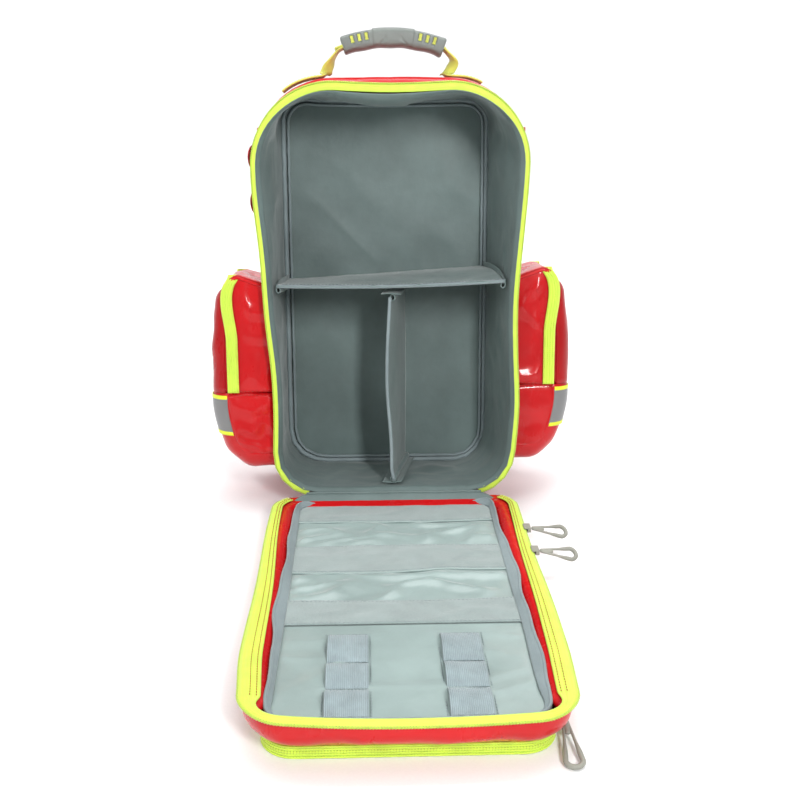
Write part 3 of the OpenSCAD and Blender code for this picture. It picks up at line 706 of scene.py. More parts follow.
# Back panel: a padded panel, softly waved and creased
shrink = np.concatenate([np.linspace(1, 0.9, 5), np.linspace(0.85, 0.02, 22)])
ring = ring_outline(BODY_D, WALL_IN + 1)
ring = ring + outward(ring, True) * bow(ring, BODY_D)[:, None]
middle = np.array([0.0, 245.0])


def back_row(k, v, lift=0.0):
    path = middle + (ring - middle) * k
    return body_point(path[:, 0], v + lift, path[:, 1])


back = rows_of(shrink, lambda k: back_row(k, BODY_D + 2, 1.4 * (1 - k ** 6)))
back = push(back, 0.9 * waves(back, 80) - 0.8 * creases(back, 90), closed=True)
shape = Shape()
shape.sheet(back, 2.4, closed=True)
shape.make("back_panel_cloth", M_RED, "compartment", "pvc_red", ["back_panel", "back_stiffener"])


def band_width(path):
    """Width of the zip tape that shows round the opening: widest along the top."""
    return mix(4.6, 7.6, smooth((path[:, 1] - 430) / 62))


# Lining: a thin skin inside the walls, creased, slack along the top
lining_in = WALL_IN + WALL_T + 1.0
rows = np.concatenate([[0.6, 1.6, 3.0, 5.0, 8.0], np.linspace(12, BODY_D - 4, 34)])


def lining_row(v):
    """Lining at depth v: turned over the tape at the front, drooping under the top wall."""
    path = ring_outline(v, 0.0)
    inset = mix(band_width(path) - 0.4, lining_in, smooth((v - 1) / 6))
    path = path + outward(path, True) * (bow(path, v) - inset)[:, None]
    x, u = path[:, 0], path[:, 1]
    droop = 13.0 * np.exp(-((x + 12) / 72) ** 2) * smooth((u - 440) / 45)
    droop *= math.sin(math.pi * min(1.0, (v / BODY_D) ** 0.55)) ** 0.8
    path[:, 1] = u - droop
    return body_point(path[:, 0], v, path[:, 1])


lining = rows_of(rows, lining_row)
inner = (rows - rows[0]) / (rows[-1] - rows[0])
belly = np.sin(np.pi * inner)[:, None]
stretch = lining * np.array([1.0, 0.55, 1.0])
slack = 1.7 * waves(lining, 70, shift=4.0) + 3.0 * creases(stretch, 52, 8.0) + 1.0 * creases(stretch, 24, 2.0)
lining = push(lining, 0.5 + np.clip(slack, 0, 5.0) * belly, closed=True)
shape = Shape()
shape.sheet(lining, 0.9, closed=True)
lining_piece = shape.make("body_lining_cloth", M_LINING, "compartment", "lining_grey", ["body_lining"])

ring = ring_outline(BODY_D - 3, lining_in + 0.5)
ring = ring + outward(ring, True) * bow(ring, BODY_D - 3)[:, None]
back = rows_of(shrink, lambda k: back_row(k, BODY_D - 4))
ripples = 1.6 * waves(back, 120, shift=2.0) + 1.2 * creases(back, 95, 6.0)
back = push(back, np.clip(ripples, -2.4, 1.2) * smooth((1 - shrink) * 12)[:, None], closed=True)
shape = Shape()
shape.sheet(back, 0.9, closed=True)
back_piece = shape.make("back_lining_cloth", M_LINING, "compartment", "lining_grey", ["back_lining"])

# Bound, gathered seams between the lining and its back: a thick binding and a flatter tape beside it
shape = Shape()
for depth, offset, radius, flat, size in ((7.5, 3.6, 3.3, 1.0, 15), (9.5, 9.5, 2.8, 0.6, 11)):
    seam = shell_row(BODY_D - depth, lining_in + offset)
    seam = even(np.concatenate([seam, seam[:1]]), 4 * MM)[:-1]
    gathered = 0.9 * waves(seam, size, 1, 7.0) + 0.5 * waves(seam, 7, 1, 2.0)
    seam = seam + MM * gathered[:, None] * (0.6 * X + 0.6 * FORWARD)
    shape.tube(seam, radius + 0.5 * waves(seam, 9, 1, 4.0), sides=10, closed=True, flat=flat)
shape.make("lining_binding", M_HEM, "compartment", "lining_grey")

# Zip tape round the rim and its coil
START = -75.0


def rim_row(v, across):
    """Line along the rim's tape: across is 0 at its outer edge and 1 at its inner edge."""
    path = outline(v, 0.0, start=START)
    path = path + outward(path, False) * (bow(path, v) - across * band_width(path))[:, None]
    return body_point(path[:, 0], v, path[:, 1])


tape = rows_of(np.linspace(0, 1, 5), lambda k: rim_row(FLANGE_V + FLANGE_T / 2, k))
tape = tape + MM * 0.4 * waves(tape, 30, 1)[..., None] * FORWARD
shape = Shape()
shape.sheet(tape, 1.8)
shape.make("body_zip_tape_cloth", M_LIME, "compartment", "lime_zip", ["body_zip_tape"])


def coil(shape, core, inner_edge):
    """Spiral of zip teeth round a core line; inner_edge is the same line on the tape's side."""
    core, inner_edge = even(core, 2.6 * MM), np.asarray(inner_edge)
    path = even(inner_edge, np.linalg.norm(np.diff(core, axis=0), axis=1).mean())
    count = min(len(core), len(path))
    across = unit(core[:count] - path[:count])
    shape.seeds(core[:count] - across * 2.0 * MM, core[:count] + across * 1.6 * MM, 1.15)
    shape.tube(core, 0.8, sides=5)


shape = Shape()
coil(shape, rim_row(FLANGE_V + FLANGE_T / 2, -0.24), rim_row(FLANGE_V + FLANGE_T / 2, 0.3))
shape.make("body_zip_teeth", M_COIL, "compartment", "lime_zip", ["body_zip_coil"])

# Loop strips on the side walls, sewn flat and standing off in two loops
LOOP_V0, LOOP_V1 = 14.0, 34.0


def wall_x(u, v):
    return half_w(u, v) - WALL_IN


# How far the webbing loops stand off the wall and hang down, in mm: -1 is the left wall, 1 the right
LOOP_STAND = {-1: 13.0, 1: 4.5}
LOOP_DROP = {-1: 10.0, 1: 2.0}


def loop_strip(sign):
    u, off = [300.0], [1.4]
    for z in (353.0, 405.0):
        for k in np.linspace(0, 1, 17):
            u.append(z - LOOP_DROP[sign] + 33 * k)
            off.append(1.4 + LOOP_STAND[sign] * math.sin(math.pi * k) ** 0.3)
    u.append(446.0)
    off.append(1.4)
    line = even(np.stack([u, off], axis=-1), 2.5)
    grid = rows_of(np.linspace(LOOP_V0, LOOP_V1, 6), lambda v: body_point(
        sign * (wall_x(line[:, 0], v) + line[:, 1] + 1.6), v, line[:, 0]))
    shape = Shape()
    shape.sheet(grid if sign > 0 else grid[::-1], 1.3)
    name = ("left" if sign < 0 else "right") + "_loop_strip"
    shape.make(name + "_webbing", M_RED_WEB, "compartment", "red_webbing", [name])
    for z in (345.0, 395.0, 440.0):
        for k in (-2.0, 2.0):
            v = np.linspace(LOOP_V0 + 2, LOOP_V1 - 2, 8)
            stitch_line(bars, body_point(sign * (wall_x(z + k, v) + 3.9), v, z + k), 3.0, 2.2, 0.5)


bars = Shape()
loop_strip(1)
loop_strip(-1)
bars.make("loop_strip_stitching", M_RED_THREAD, "compartment", "pvc_dark_red")

# ---------------------------------------------------------------- carrying handle
HANDLE_V, WEB_W = 60.0, 25.0
GRIP_L, GRIP_TOP, GRIP_T, GRIP_W = 130.0, 69.0, 22.0, 28.0
ARC_R = ((GRIP_L / 2) ** 2 + 12.0 ** 2) / 24.0
GRIP_MID = BODY_H - WALL_IN + GRIP_TOP - GRIP_T / 2
ARC_U = GRIP_MID - ARC_R
PIVOT_U = BODY_H - 0.5


def handle_arc(x, lift=0.0):
    return ARC_U + np.sqrt(ARC_R ** 2 - x ** 2) + lift


def webbing(shape, centre, across, width, thick, wide=4):
    """Flat strap along centre points, its width along the across directions."""
    across = unit(np.broadcast_to(across, centre.shape))
    grid = rows_of(np.linspace(-0.5, 0.5, wide), lambda k: centre + across * k * width * MM)
    shape.sheet(grid, thick)


def smooth_path(points, count):
    """Catmull-Rom curve through points, as count points."""
    p = np.asarray(points, float)
    p = np.concatenate([2 * p[:1] - p[1:2], p, 2 * p[-1:] - p[-2:-1]])
    t = np.linspace(0, len(p) - 3 - 1e-9, count)
    k, f = t.astype(int), (t % 1)[:, None]
    a, b, c, d = p[k], p[k + 1], p[k + 2], p[k + 3]
    return 0.5 * (2 * b + (c - a) * f + (2 * a - 5 * b + 4 * c - d) * f ** 2
                  + (3 * b - a - 3 * c + d) * f ** 3)


def strap(shape, centre, across, widths, thick, curl=0.0, wide=7):
    """Strap of changing width and direction; curl hollows its section, in mm."""
    across = unit(across)
    facing = unit(np.cross(np.gradient(centre, axis=0), across))
    ks = np.linspace(-0.5, 0.5, wide)
    grid = np.stack([centre + MM * ((k * widths)[:, None] * across
                                    + (np.asarray(curl) * (1 - 4 * k * k))[..., None] * facing) for k in ks])
    shape.sheet(grid, thick)


# Where the strap ends lie on the swollen top wall
top_line = ring_outline(HANDLE_V, WALL_IN)
top_line = top_line + outward(top_line, True) * (bow(top_line, HANDLE_V) + crown(top_line, HANDLE_V))[:, None]
top_line = top_line[top_line[:, 1] > 440]
top_line = top_line[np.argsort(top_line[:, 0])]


def on_top(x):
    return np.interp(x, top_line[:, 0], top_line[:, 1])


ANCHOR = {-1: (-79.0, -131.0), 1: (65.0, 111.0)}
shape, thread = Shape(), Shape()
for sign in (-1, 1):
    inner, outer_end = ANCHOR[sign]
    x = np.linspace(inner, outer_end, 30)
    u = on_top(x) + 5.0 + 2.6 * np.exp(-np.abs(x - inner) / 3.0)
    centre = body_point(x, HANDLE_V, u)
    widths = WEB_W * (1 - 0.3 * np.exp(-np.abs(x - inner) / 5.0))
    strap(shape, centre, np.broadcast_to(-sign * FORWARD, centre.shape), widths, 2.2)
    for dv in (-8.5, 8.5):
        line = x[5:-1]
        stitch_line(thread, body_point(line, HANDLE_V + dv, on_top(line) + 6.5), 4.0, 2.8, 0.5)
    for at in (0.25, 0.62, 0.96):
        v = np.linspace(HANDLE_V - 8, HANDLE_V + 8, 8)
        at = mix(inner, outer_end, at)
        stitch_line(thread, body_point(at, v, on_top(at) + 6.5), 3.6, 2.6, 0.5)
shape.make("handle_anchor_webbing", M_YELLOW, "compartment", "yellow_webbing", ["handle_anchors"])
thread.make("handle_anchor_stitching", M_LIME_THREAD, "compartment", "yellow_webbing")

shape = Shape()
x = np.linspace(-GRIP_L / 2 - 1.5, GRIP_L / 2 + 1.5, 61)
centre = body_point(x, HANDLE_V, handle_arc(x))
webbing(shape, centre, FORWARD, WEB_W - 2, 2.0)
end_u = handle_arc(GRIP_L / 2 + 1.0)
legs = {-1: [(-57.5, end_u + 1), (-64, end_u - 3), (-73, 526), (-78, 515), (-78.5, on_top(-78.5) + 7.5)],
        1: [(64.5, end_u), (70, end_u - 5), (77, 527), (71, 514), (65.0, on_top(65.0) + 7.5)]}
for sign in (-1, 1):
    path = smooth_path(legs[sign], 40)
    t = np.linspace(0, 1, 40)
    centre = body_point(path[:, 0], HANDLE_V, path[:, 1])
    turn = np.radians(62.0 * np.exp(-((t - 0.72) / 0.2) ** 2) + 10 * t)
    across = np.cos(turn)[:, None] * FORWARD + np.sin(turn)[:, None] * sign * X
    widths = (WEB_W - 2) * (1 - 0.42 * np.exp(-((t - 0.7) / 0.2) ** 2))
    strap(shape, centre, across if sign > 0 else -across, widths, 2.0,
          curl=2.4 * np.exp(-((t - 0.6) / 0.25) ** 2))
legs_piece = shape.make("handle_leg_webbing", M_YELLOW, None, "yellow_webbing", ["handle_webbing"])
tuple(body_point(0, HANDLE_V, PIVOT_U + 4))
tuple(body_point(0, HANDLE_V, PIVOT_U + 34))
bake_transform(legs_piece)

# Moulded grip: a raised middle panel with an arched groove, and three windows at each end
shape = Shape()
GRIP_X, GRIP_HALF = 3.5, GRIP_L / 2 - 3.5   # the grip's middle and half-length
NOTCHES = [GRIP_X + s * x for s in (-1, 1) for x in (32.0, 40.5, 49.0)]
xs = np.linspace(GRIP_X - GRIP_HALF, GRIP_X + GRIP_HALF, 131)
sides = 72
angle = TURN * np.arange(sides) / sides
c, s = np.cos(angle), np.sin(angle)
rings = []
for x in xs:
    end = np.clip((GRIP_HALF - abs(x - GRIP_X)) / 3.0, 0, 1)
    plump = (math.sqrt(1 - (1 - end) ** 2) * 0.16 + 0.84) * (1 + 0.05 * smooth((abs(x) - 56) / 8))
    raised = 1.1 * smooth((25 - abs(x - GRIP_X)) / 1.6)
    power = 0.55
    across = np.sign(c) * np.abs(c) ** power * (GRIP_W / 2) * plump
    high = np.sign(s) * np.abs(s) ** power * (GRIP_T / 2) * plump
    across = across + np.sign(c) * raised * smooth(np.abs(c) / 0.3)
    high = high + raised * smooth(s / 0.3)
    notch = max(math.exp(-((x - n) / 2.0) ** 6) for n in NOTCHES)
    window = smooth((high + 1.5) / 1.2) * smooth((8.2 - high) / 1.2) * smooth((np.abs(c) - 0.2) / 0.15)
    groove = np.exp(-((np.sqrt(((x - GRIP_X) / 17.0) ** 2 + ((high + 10.5) / 9.5) ** 2) - 1) / 0.07) ** 2)
    groove = groove * (high > -10) * (np.abs(c) > 0.3)
    across = across - np.sign(c) * (4.4 * notch * window + 0.9 * groove)
    high = high + 0.9 * np.sin(x / GRIP_L * TURN * 2.0) ** 2 * smooth((-s - 0.4) / 0.3)
    lean_in = math.asin(x / ARC_R)
    base_u = ARC_U + ARC_R * math.cos(lean_in) + high * math.cos(lean_in)
    base_x = x + high * math.sin(lean_in)
    rings.append(body_point(base_x, HANDLE_V - across, base_u))
grid = np.array(rings)
index = shape.take(grid)
shape.quads(index, np.linspace(0, 0.08, sides + 1), run(grid, 0), closed=True, flip=True)
for loop, turn, middle in ((index[0], 1, grid[0].mean(0)), (index[-1], -1, grid[-1].mean(0))):
    tip = shape.take(middle[None])[0]
    following = np.roll(loop, -1)
    shape.faces.append(np.stack([np.full(sides, tip), following, loop][::turn] + [loop * 0 - 1], -1))
    shape.uvs.append(np.zeros((sides, 4, 2)))
shape.make("handle_grip_rubber", M_GRIP, "handle", "grip_rubber", ["handle_grip"])
shape = Shape()
for n in NOTCHES:
    for face in (-1, 1):
        lift = np.linspace(-1.4, 7.6, 5)
        grid = rows_of(np.array([-1.7, 0.0, 1.7]), lambda d: body_point(
            n + d + lift * n / ARC_R, HANDLE_V + face * (GRIP_W / 2 - 3.3), handle_arc(n) + lift))
        shape.sheet(grid if face > 0 else grid[::-1], 0.8)
shape.make("handle_grip_inserts", M_YELLOW, "handle", "yellow_webbing")

# ---------------------------------------------------------------- side pockets
SIDE_X, SIDE_U0, SIDE_U1, SEAM_U = 226.0, 32.0, 276.0, 130.0
SIDE_V0, SIDE_V1 = 20.0, 128.0
CAP_X, CAP_TOP = SIDE_X - 20, SIDE_U1 - 30


def closed_face(shape, path, v, direction, thick, bulge=2.0, shift=0.0, clear=999.0):
    """A cloth panel that fills an outline at depth v, shrinking towards its middle."""
    middle = (path.max(0) + path.min(0)) / 2
    span = path.max(0) - path.min(0)
    spine = middle + np.clip(path - middle, -0.5 * (span - span.min()), 0.5 * (span - span.min()))
    steps = np.concatenate([[1, 0.97, 0.92, 0.86], np.linspace(0.78, 0.0, 14)])
    grid = rows_of(steps, lambda k: body_point(
        (spine + (path - spine) * k)[:, 0], v + direction * bulge * (1 - k ** 4),
        (spine + (path - spine) * k)[:, 1]))
    wrinkle = 3.6 * creases(grid, 46, shift) + 1.6 * waves(grid, 48, shift=shift)
    wrinkle = wrinkle * smooth((1 - steps) * 8)[:, None] * smooth((clear - np.abs(grid[..., 0]) / MM) / 14)
    grid = grid - MM * direction * wrinkle[..., None] * FORWARD
    lift = MM * direction * thick / 2 * FORWARD
    rim = steps[:, None, None] ** 24 * lift
    shape.panel_fan(grid - lift + rim, direction < 0)


FRONT_R, CAP_R = 24.0, 19.0
# Each pocket's own place, in mm up and across: -1 is the left pocket, 1 the right, moved to the middle
POCKET_LIFT = {-1: -5.0, 1: 2.5}
POCKET_SHIFT = {-1: 0.0, 1: -4.0}


def taper(x, u):
    """The lower pocket draws in towards its bottom."""
    return 13.0 * smooth((116 - u) / 78) * np.clip((x - 150) / 60, 0, 1)


def side_pocket(sign):
    side = "left" if sign < 0 else "right"
    lift = POCKET_LIFT[sign]

    def place(x, v, u):
        return body_point(x + POCKET_SHIFT[sign], v, np.asarray(u) + lift)

    shell, cap, tape, piping = Shape(), Shape(), Shape(), Shape()

    def wall_at(u, v):
        return wall_x(u, v) + 0.8

    def cross_section(v, inset=0.0):
        """Lower pocket from the wall round the low corner up to the seam, then the neck and top."""
        wall = np.linspace([wall_at(SIDE_U0, v), SIDE_U0 + inset], [184, SIDE_U0 + inset], 8)
        corner = arc(SIDE_X - 42, SIDE_U0 + 42, 42 - inset, -90, 0, 14)[1:]
        up = np.linspace([SIDE_X - inset, SIDE_U0 + 42], [SIDE_X - inset, SEAM_U - 0.8], 11)[1:]
        path = np.concatenate([wall, corner, up])
        path[:, 0] -= taper(path[:, 0], path[:, 1])
        return path

    def top_section(v, inset=0.0):
        r = 16.0
        neck = np.linspace([CAP_X - inset - 1, SEAM_U - 2], [CAP_X - inset - 1, SIDE_U1 - r], 20)
        turn = arc(CAP_X - 1 - r, SIDE_U1 - r, r - inset, 0, 90, 12)[1:]
        at_wall = [wall_at(SIDE_U1, v), SIDE_U1 - 13 - inset]
        flat = np.linspace([CAP_X - 1 - r, SIDE_U1 - inset], at_wall, 9)[1:]
        return np.concatenate([neck, turn, flat])

    def cap_section(inset=0.0):
        r = SIDE_X - CAP_X - 0.4
        top = CAP_TOP + 17
        up = np.linspace([SIDE_X - inset, SEAM_U + 1.2], [SIDE_X - inset - 1.0, top - r], 20)
        turn = arc(SIDE_X - r - 1.0, top - r, r - inset, 0, 90, 10)[1:]
        path = np.concatenate([up, turn])
        path[:, 0] -= 6.0 * smooth((path[:, 1] - 180) / 80)
        return path

    def skin_rows(section, v_values, radius):
        rows = []
        for v in v_values:
            edge = min(v - SIDE_V0, SIDE_V1 - v)
            rounding = radius * (1 - math.sqrt(max(0.0, 1 - (1 - min(edge / radius, 1)) ** 2)))
            path = section(v, 0.0)
            direction = outward(path, False)
            path = path - direction * rounding
            rows.append(place(sign * path[:, 0], v, path[:, 1]))
        return np.array(rows)

    near = np.array([0.25, 0.8, 2, 4, 7, 11, 16.5])
    vs = np.concatenate([SIDE_V0 + near, np.linspace(SIDE_V0 + 21, SIDE_V1 - 21, 17), SIDE_V1 - near[::-1]])
    for section, target, radius in ((cross_section, shell, FRONT_R), (top_section, shell, 5.0),
                                    (lambda v, i: cap_section(i), cap, CAP_R)):
        grid = skin_rows(section, vs, radius)
        dents = 3.0 * creases(grid, 50, 4.0 + sign) + 2.0 * waves(grid, 60, shift=9.0 * sign)
        belly = np.sin(np.pi * (vs - SIDE_V0) / (SIDE_V1 - SIDE_V0))[:, None]
        fixed = smooth(np.minimum(np.arange(grid.shape[1]), np.arange(grid.shape[1])[::-1]) / 4)
        grid = grid if sign > 0 else grid[::-1]
        grid = push(grid, -(dents * belly * fixed) + 1.2 * belly * fixed)
        target.sheet(grid, 2.4)
    # Front and rear faces: lower pocket, upper pocket under the tape, and the flap's ends
    for v, direction in ((SIDE_V0 + 1.4, -1), (SIDE_V1 - 1.4, 1)):
        low = cross_section(v, FRONT_R - 5.5)
        low = np.concatenate([low, even([low[-1], [wall_at(SEAM_U, v), SEAM_U - 0.8]], 7)[1:],
                              even([[wall_at(SEAM_U, v), SEAM_U - 0.8], low[0]], 7)[1:-1]])
        high = top_section(v, 1.5)
        high = np.concatenate([high, even([high[-1], [wall_at(SEAM_U, v), SEAM_U]], 7)[1:],
                               even([[wall_at(SEAM_U, v), SEAM_U], high[0]], 7)[1:-1]])
        ends = cap_section(CAP_R - 3.5)
        ends = np.concatenate([ends, even([ends[-1], [CAP_X + 1.4, CAP_TOP - 1.4]], 4)[1:],
                               even([[CAP_X + 1.4, CAP_TOP - 1.4], [CAP_X + 1.4, SEAM_U + 1.2]], 6)[1:],
                               even([[CAP_X + 1.4, SEAM_U + 1.2], ends[0]], 5)[1:-1]])
        faces = ((low, shell, 2.2, 999), (high, shell, 0.8, CAP_X - 15), (ends, cap, 0.5, 0))
        for path, target, bulge, clear in faces:
            x = sign * path[:, 0]
            loop = np.stack([x, path[:, 1]], axis=-1)
            loop = loop if sign > 0 else loop[::-1]
            loop = loop + (POCKET_SHIFT[sign], lift)
            depth = v + 1.2 * (target is shell and clear < 999) * -direction
            closed_face(target, loop, depth, direction, 2.2, bulge, shift=3.0 * sign + direction, clear=clear)
        # corner piping along the pocket's front and rear edges
        line = cross_section(v, FRONT_R - 6.5)
        piping.tube(place(sign * line[:, 0], v - direction * 0.2, line[:, 1]), 1.2, sides=6)
        line = top_section(v, 0.6)
        piping.tube(place(sign * line[:, 0], v - direction * 0.2, line[:, 1]), 1.3, sides=6)
    shell.make(f"{side}_pocket_cloth", M_RED, "compartment", "pvc_red", [f"{side}_pocket_shell"])
    # The piping and the flap are dressed in the darkened red copy, as painted shade.
    piping.make(f"{side}_pocket_piping", M_SHADED_RED, "compartment", "pvc_dark_red")
    cap.make(f"{side}_flap_cloth", M_SHADED_RED, f"{side}_flap", "pvc_dark_red", [f"{side}_pocket_flap"])

    # Zip tape: up the front, over the top corner and down the rear, with teeth
    teeth, thread = Shape(), Shape()
    for v in (SIDE_V0 - 1.6, SIDE_V1 + 1.6):
        u = np.linspace(SEAM_U + 1, SIDE_U1 + 0.5, 40)
        towards = -1 if v < SIDE_V0 else 1
        curve = 5.0 * smooth((u - 195) / 50) * (1 - smooth((u - 248) / 28)) * (1 if v < SIDE_V0 else 0.2)
        v = v - towards * 7.0 * smooth((u - SIDE_U1 + 9) / 10)
        curve = curve - 4.5 * smooth((u - SIDE_U1 + 14) / 14)
        grid = rows_of(np.linspace(CAP_X - 13, CAP_X - 0.2, 9), lambda x: place(sign * (x + curve), v, u))
        if sign * towards > 0:
            grid = grid[::-1]
        tape.sheet(grid + MM * 0.4 * waves(grid, 24, 1)[..., None] * FORWARD, 1.6)
        for x in (CAP_X - 11.5, CAP_X - 8.3, CAP_X - 5.1, CAP_X - 1.9):
            tape.tube(place(sign * (x + curve), v + towards * 0.9, u), 1.0, sides=6, flat=0.8)
    reach = 17.0
    angles = np.radians(np.linspace(0, 48, 9))
    grid = rows_of(np.linspace(SIDE_V0, SIDE_V1, 14), lambda v: place(
        sign * (CAP_X - 17 + reach * np.cos(angles)), v, SIDE_U1 - 16 + reach * np.sin(angles)))
    tape.sheet(grid if sign > 0 else grid[::-1], 1.2)
    a = math.radians(24)
    v = np.linspace(SIDE_V0, SIDE_V1, 42)
    over = reach + 0.9
    core = place(sign * (CAP_X - 17 + over * math.cos(a)), v, SIDE_U1 - 16 + over * math.sin(a))
    slant = UP * math.cos(a) * 2.0 * MM - sign * X * math.sin(a) * 2.0 * MM
    teeth.seeds(core - slant, core + slant, 0.9)
    tape.make(f"{side}_pocket_zip_tape", M_LIME, "compartment", "lime_zip", [f"{side}_pocket_tape"])
    teeth.make(f"{side}_pocket_zip_teeth", M_COIL, "compartment", "lime_zip")
    # Double seam across the front, under the flap
    for v, towards in ((SIDE_V0 - 1.4, -1), (SIDE_V1 + 1.4, 1)):
        for u in (SEAM_U - 2.5, SEAM_U + 2.2):
            x = np.linspace(wall_at(u, v) + 3, CAP_X - 2, 16)
            stitch_line(thread, place(sign * x, v, u), 4.6, 3.2, 0.45)
    thread.make(f"{side}_pocket_stitching", M_RED_THREAD, "compartment", "pvc_dark_red")

    # Reflective strip with bright bound edges, following the pocket's soft outer face
    band, trim = Shape(), Shape()
    low_u, high_u = SEAM_U - 54, SEAM_U - 4
    near = np.array([0.35, 1.5, 3.5, 6.5, 10, 14])
    v = np.concatenate([SIDE_V0 + near, np.linspace(SIDE_V0 + 20, SIDE_V1 - 20, 12), SIDE_V1 - near[::-1]])
    swell = 1.6 * np.sin(np.pi * (v - SIDE_V0) / (SIDE_V1 - SIDE_V0))
    edge = np.minimum(np.minimum(v - SIDE_V0, SIDE_V1 - v) / FRONT_R, 1)
    turned = FRONT_R * (1 - np.sqrt(1 - (1 - edge) ** 2))

    def band_row(u, lift):
        x = SIDE_X + 0.9 + swell - turned - taper(SIDE_X, u) + lift
        return place(sign * x, v - 0.8 * (1 - edge), u)

    grid = rows_of(np.linspace(low_u + 3, high_u - 3, 12), lambda u: band_row(u, 0.6))
    grid = grid[::-1] if sign > 0 else grid
    band.sheet(grid, 0.9)
    for u in (low_u + 2, high_u - 2):
        grid = rows_of(np.array([u - 2.2, u, u + 2.2]), lambda at: band_row(at, 1.1))
        trim.sheet(grid[::-1] if sign > 0 else grid, 0.8)
    band.make(f"{side}_reflective_band", M_REFLECT, "compartment", "reflective", [f"{side}_reflector"])
    trim.make(f"{side}_reflective_trim", M_TRIM, "compartment", "lime_zip")


side_pocket(-1)
side_pocket(1)

# ---------------------------------------------------------------- door
DOOR_HW, DOOR_L, NEAR_R, FAR_R = 148.5, 500.0, 40.0, 38.0
TAPE_TOP, TAPE_T, TAPE_W = -2.0, 2.0, 14.0
GUSSET_TOP = TAPE_TOP - TAPE_T - 0.3
RING_H, RING_T, RING_FAR, RING_NEAR, RING_R, RING_IN = 14.0, 3.0, 16.0, 30.0, 30.0, 22.0
BOARD_TOP, BOARD_IN, BOARD_NEAR = -12.0, 26.0, 14.0
RISE = math.asin(AWAY[2])
HINGE_Z = HINGE[2] / MM


def over_ground(s, z):
    """Height in the door's frame of a point at distance s from the hinge and z above the ground."""
    return (z - HINGE_Z - s * math.sin(RISE)) / math.cos(RISE)


def door_outline(side, far, near, near_r, far_r, start=90.0, step=(8, 46, 12, 26)):
    """Open outline of the door as (x, s), from the hinge end's left round the far end."""
    corner, along, turn, across = step
    half, end = DOOR_HW - side, DOOR_L - far
    a = np.radians(np.linspace(start, 180, corner))
    first = np.stack([-(half - near_r) + near_r * np.cos(a), near + near_r - near_r * np.sin(a)], -1)
    straight = np.linspace(near + near_r, end - far_r, along + 2)[1:-1]
    straight = np.stack([np.full(along, -half), straight], -1)
    b = np.radians(np.linspace(180, 270, turn))
    second = np.stack([-(half - far_r) + far_r * np.cos(b), end - far_r - far_r * np.sin(b)], -1)
    flat = np.linspace(-(half - far_r), 0, across // 2 + 1)[1:]
    flat = np.stack([flat, np.full(len(flat), end)], -1)
    left = np.concatenate([first, straight, second, flat])
    return np.concatenate([left, left[::-1][1:] * (-1, 1)])


def warp(path, h):
    """The soft rim as it lies: its far end bowed and its long sides slightly uneven."""
    x, s = path[:, 0], path[:, 1]
    far = smooth((s - 380) / 120)
    bowed = (x / 150) ** 2
    out = far * (4.5 - 7.0 * bowed)
    lift = far * np.where(x < 0, 5.0, 2.0) * bowed - 0.8 * far
    wavy = 0.8 * np.sin(s / 43.0 + np.sign(x)) * (1 - far) - 6.5 * far * smooth(bowed)
    return x + wavy * np.sign(x), s + out, h + lift


def rim_ring(inset, h, start=90.0):
    path = door_outline(inset, inset, inset, NEAR_R - min(inset, 20), FAR_R - inset, start)
    return door_point(*warp(path, h))


# Zip tape on the rim, with its coil and two rows of stitching
tape_rows = np.linspace(0, TAPE_W, 8)


def tape_row(i):
    """Tape narrow beside the hinge, wide along the sides and tipped outwards across the far end."""
    path = door_outline(0, 0, 0, NEAR_R, FAR_R, 130)
    x, s = path[:, 0], path[:, 1]
    far = smooth((s - 462) / 34)
    side = mix(0.62, 1.22, smooth(s / 430)) + 0.1 * np.where(x < 0, 1 - far, 0)
    inset = i * mix(side, 0.5, far)
    path = path - outward_door(path) * inset[:, None]
    h = TAPE_TOP - TAPE_T / 2 + 0.4 * math.sin(i / TAPE_W * math.pi) + far * 0.2 * (i - TAPE_W / 2)
    return door_point(*warp(path, h))


def outward_door(path):
    """Unit outward direction of a door outline, whose points run clockwise from above."""
    t = np.gradient(path, axis=0)
    return unit(np.stack([-t[:, 1], t[:, 0]], axis=-1) * np.sign(path[0, 0] * -1))


grid = rows_of(tape_rows, tape_row)
cords = 0.45 * np.cos(tape_rows / 2.8 * TURN) * smooth((tape_rows - 7.5) / 2)
wobble = 0.6 * waves(grid, 26, 1) * np.sin(np.pi * tape_rows / TAPE_W)[:, None]
grid = grid + MM * (wobble + cords[:, None])[..., None] * DOOR_UP
shape = Shape()
shape.sheet(grid[::-1], 1.8)
shape.make("door_zip_tape_cloth", M_LIME, "door", "lime_zip", ["door_zip_tape"])
shape = Shape()
coil(shape, rim_ring(-1.2, TAPE_TOP - TAPE_T / 2 - 0.6, 150), rim_ring(2.0, TAPE_TOP - TAPE_T / 2 - 0.6, 150))
shape.make("door_zip_teeth", M_COIL, "door", "lime_zip", ["door_zip_coil"])
shape = Shape()
for inset in (7.4, 11.8):
    line = tape_row(inset) + 1.4 * MM * DOOR_UP
    along = (HINGE[1] - line[:, 1]) / MM
    left = line[(along < 462) & (line[:, 0] < 0)]
    right = line[(along < 462) & (line[:, 0] > 0)]
    stitch_line(shape, left, radius=0.45)
    stitch_line(shape, right, radius=0.45)
shape.make("door_zip_stitching", M_RED_THREAD, "door", "pvc_dark_red")


# Red border between the tape and the organiser, running down under the hem
def border_row(i):
    path = door_outline(0, 0, 0, NEAR_R, FAR_R, 130)
    far = smooth((path[:, 1] - 462) / 30)
    path = path - outward_door(path) * mix(i, 7.5 + 0.2 * (i - 11), far)[:, None]
    h = GUSSET_TOP - 0.7 - 4.6 * smooth((i - 18) / 7) - 3.0 * far
    return door_point(*warp(path, h))


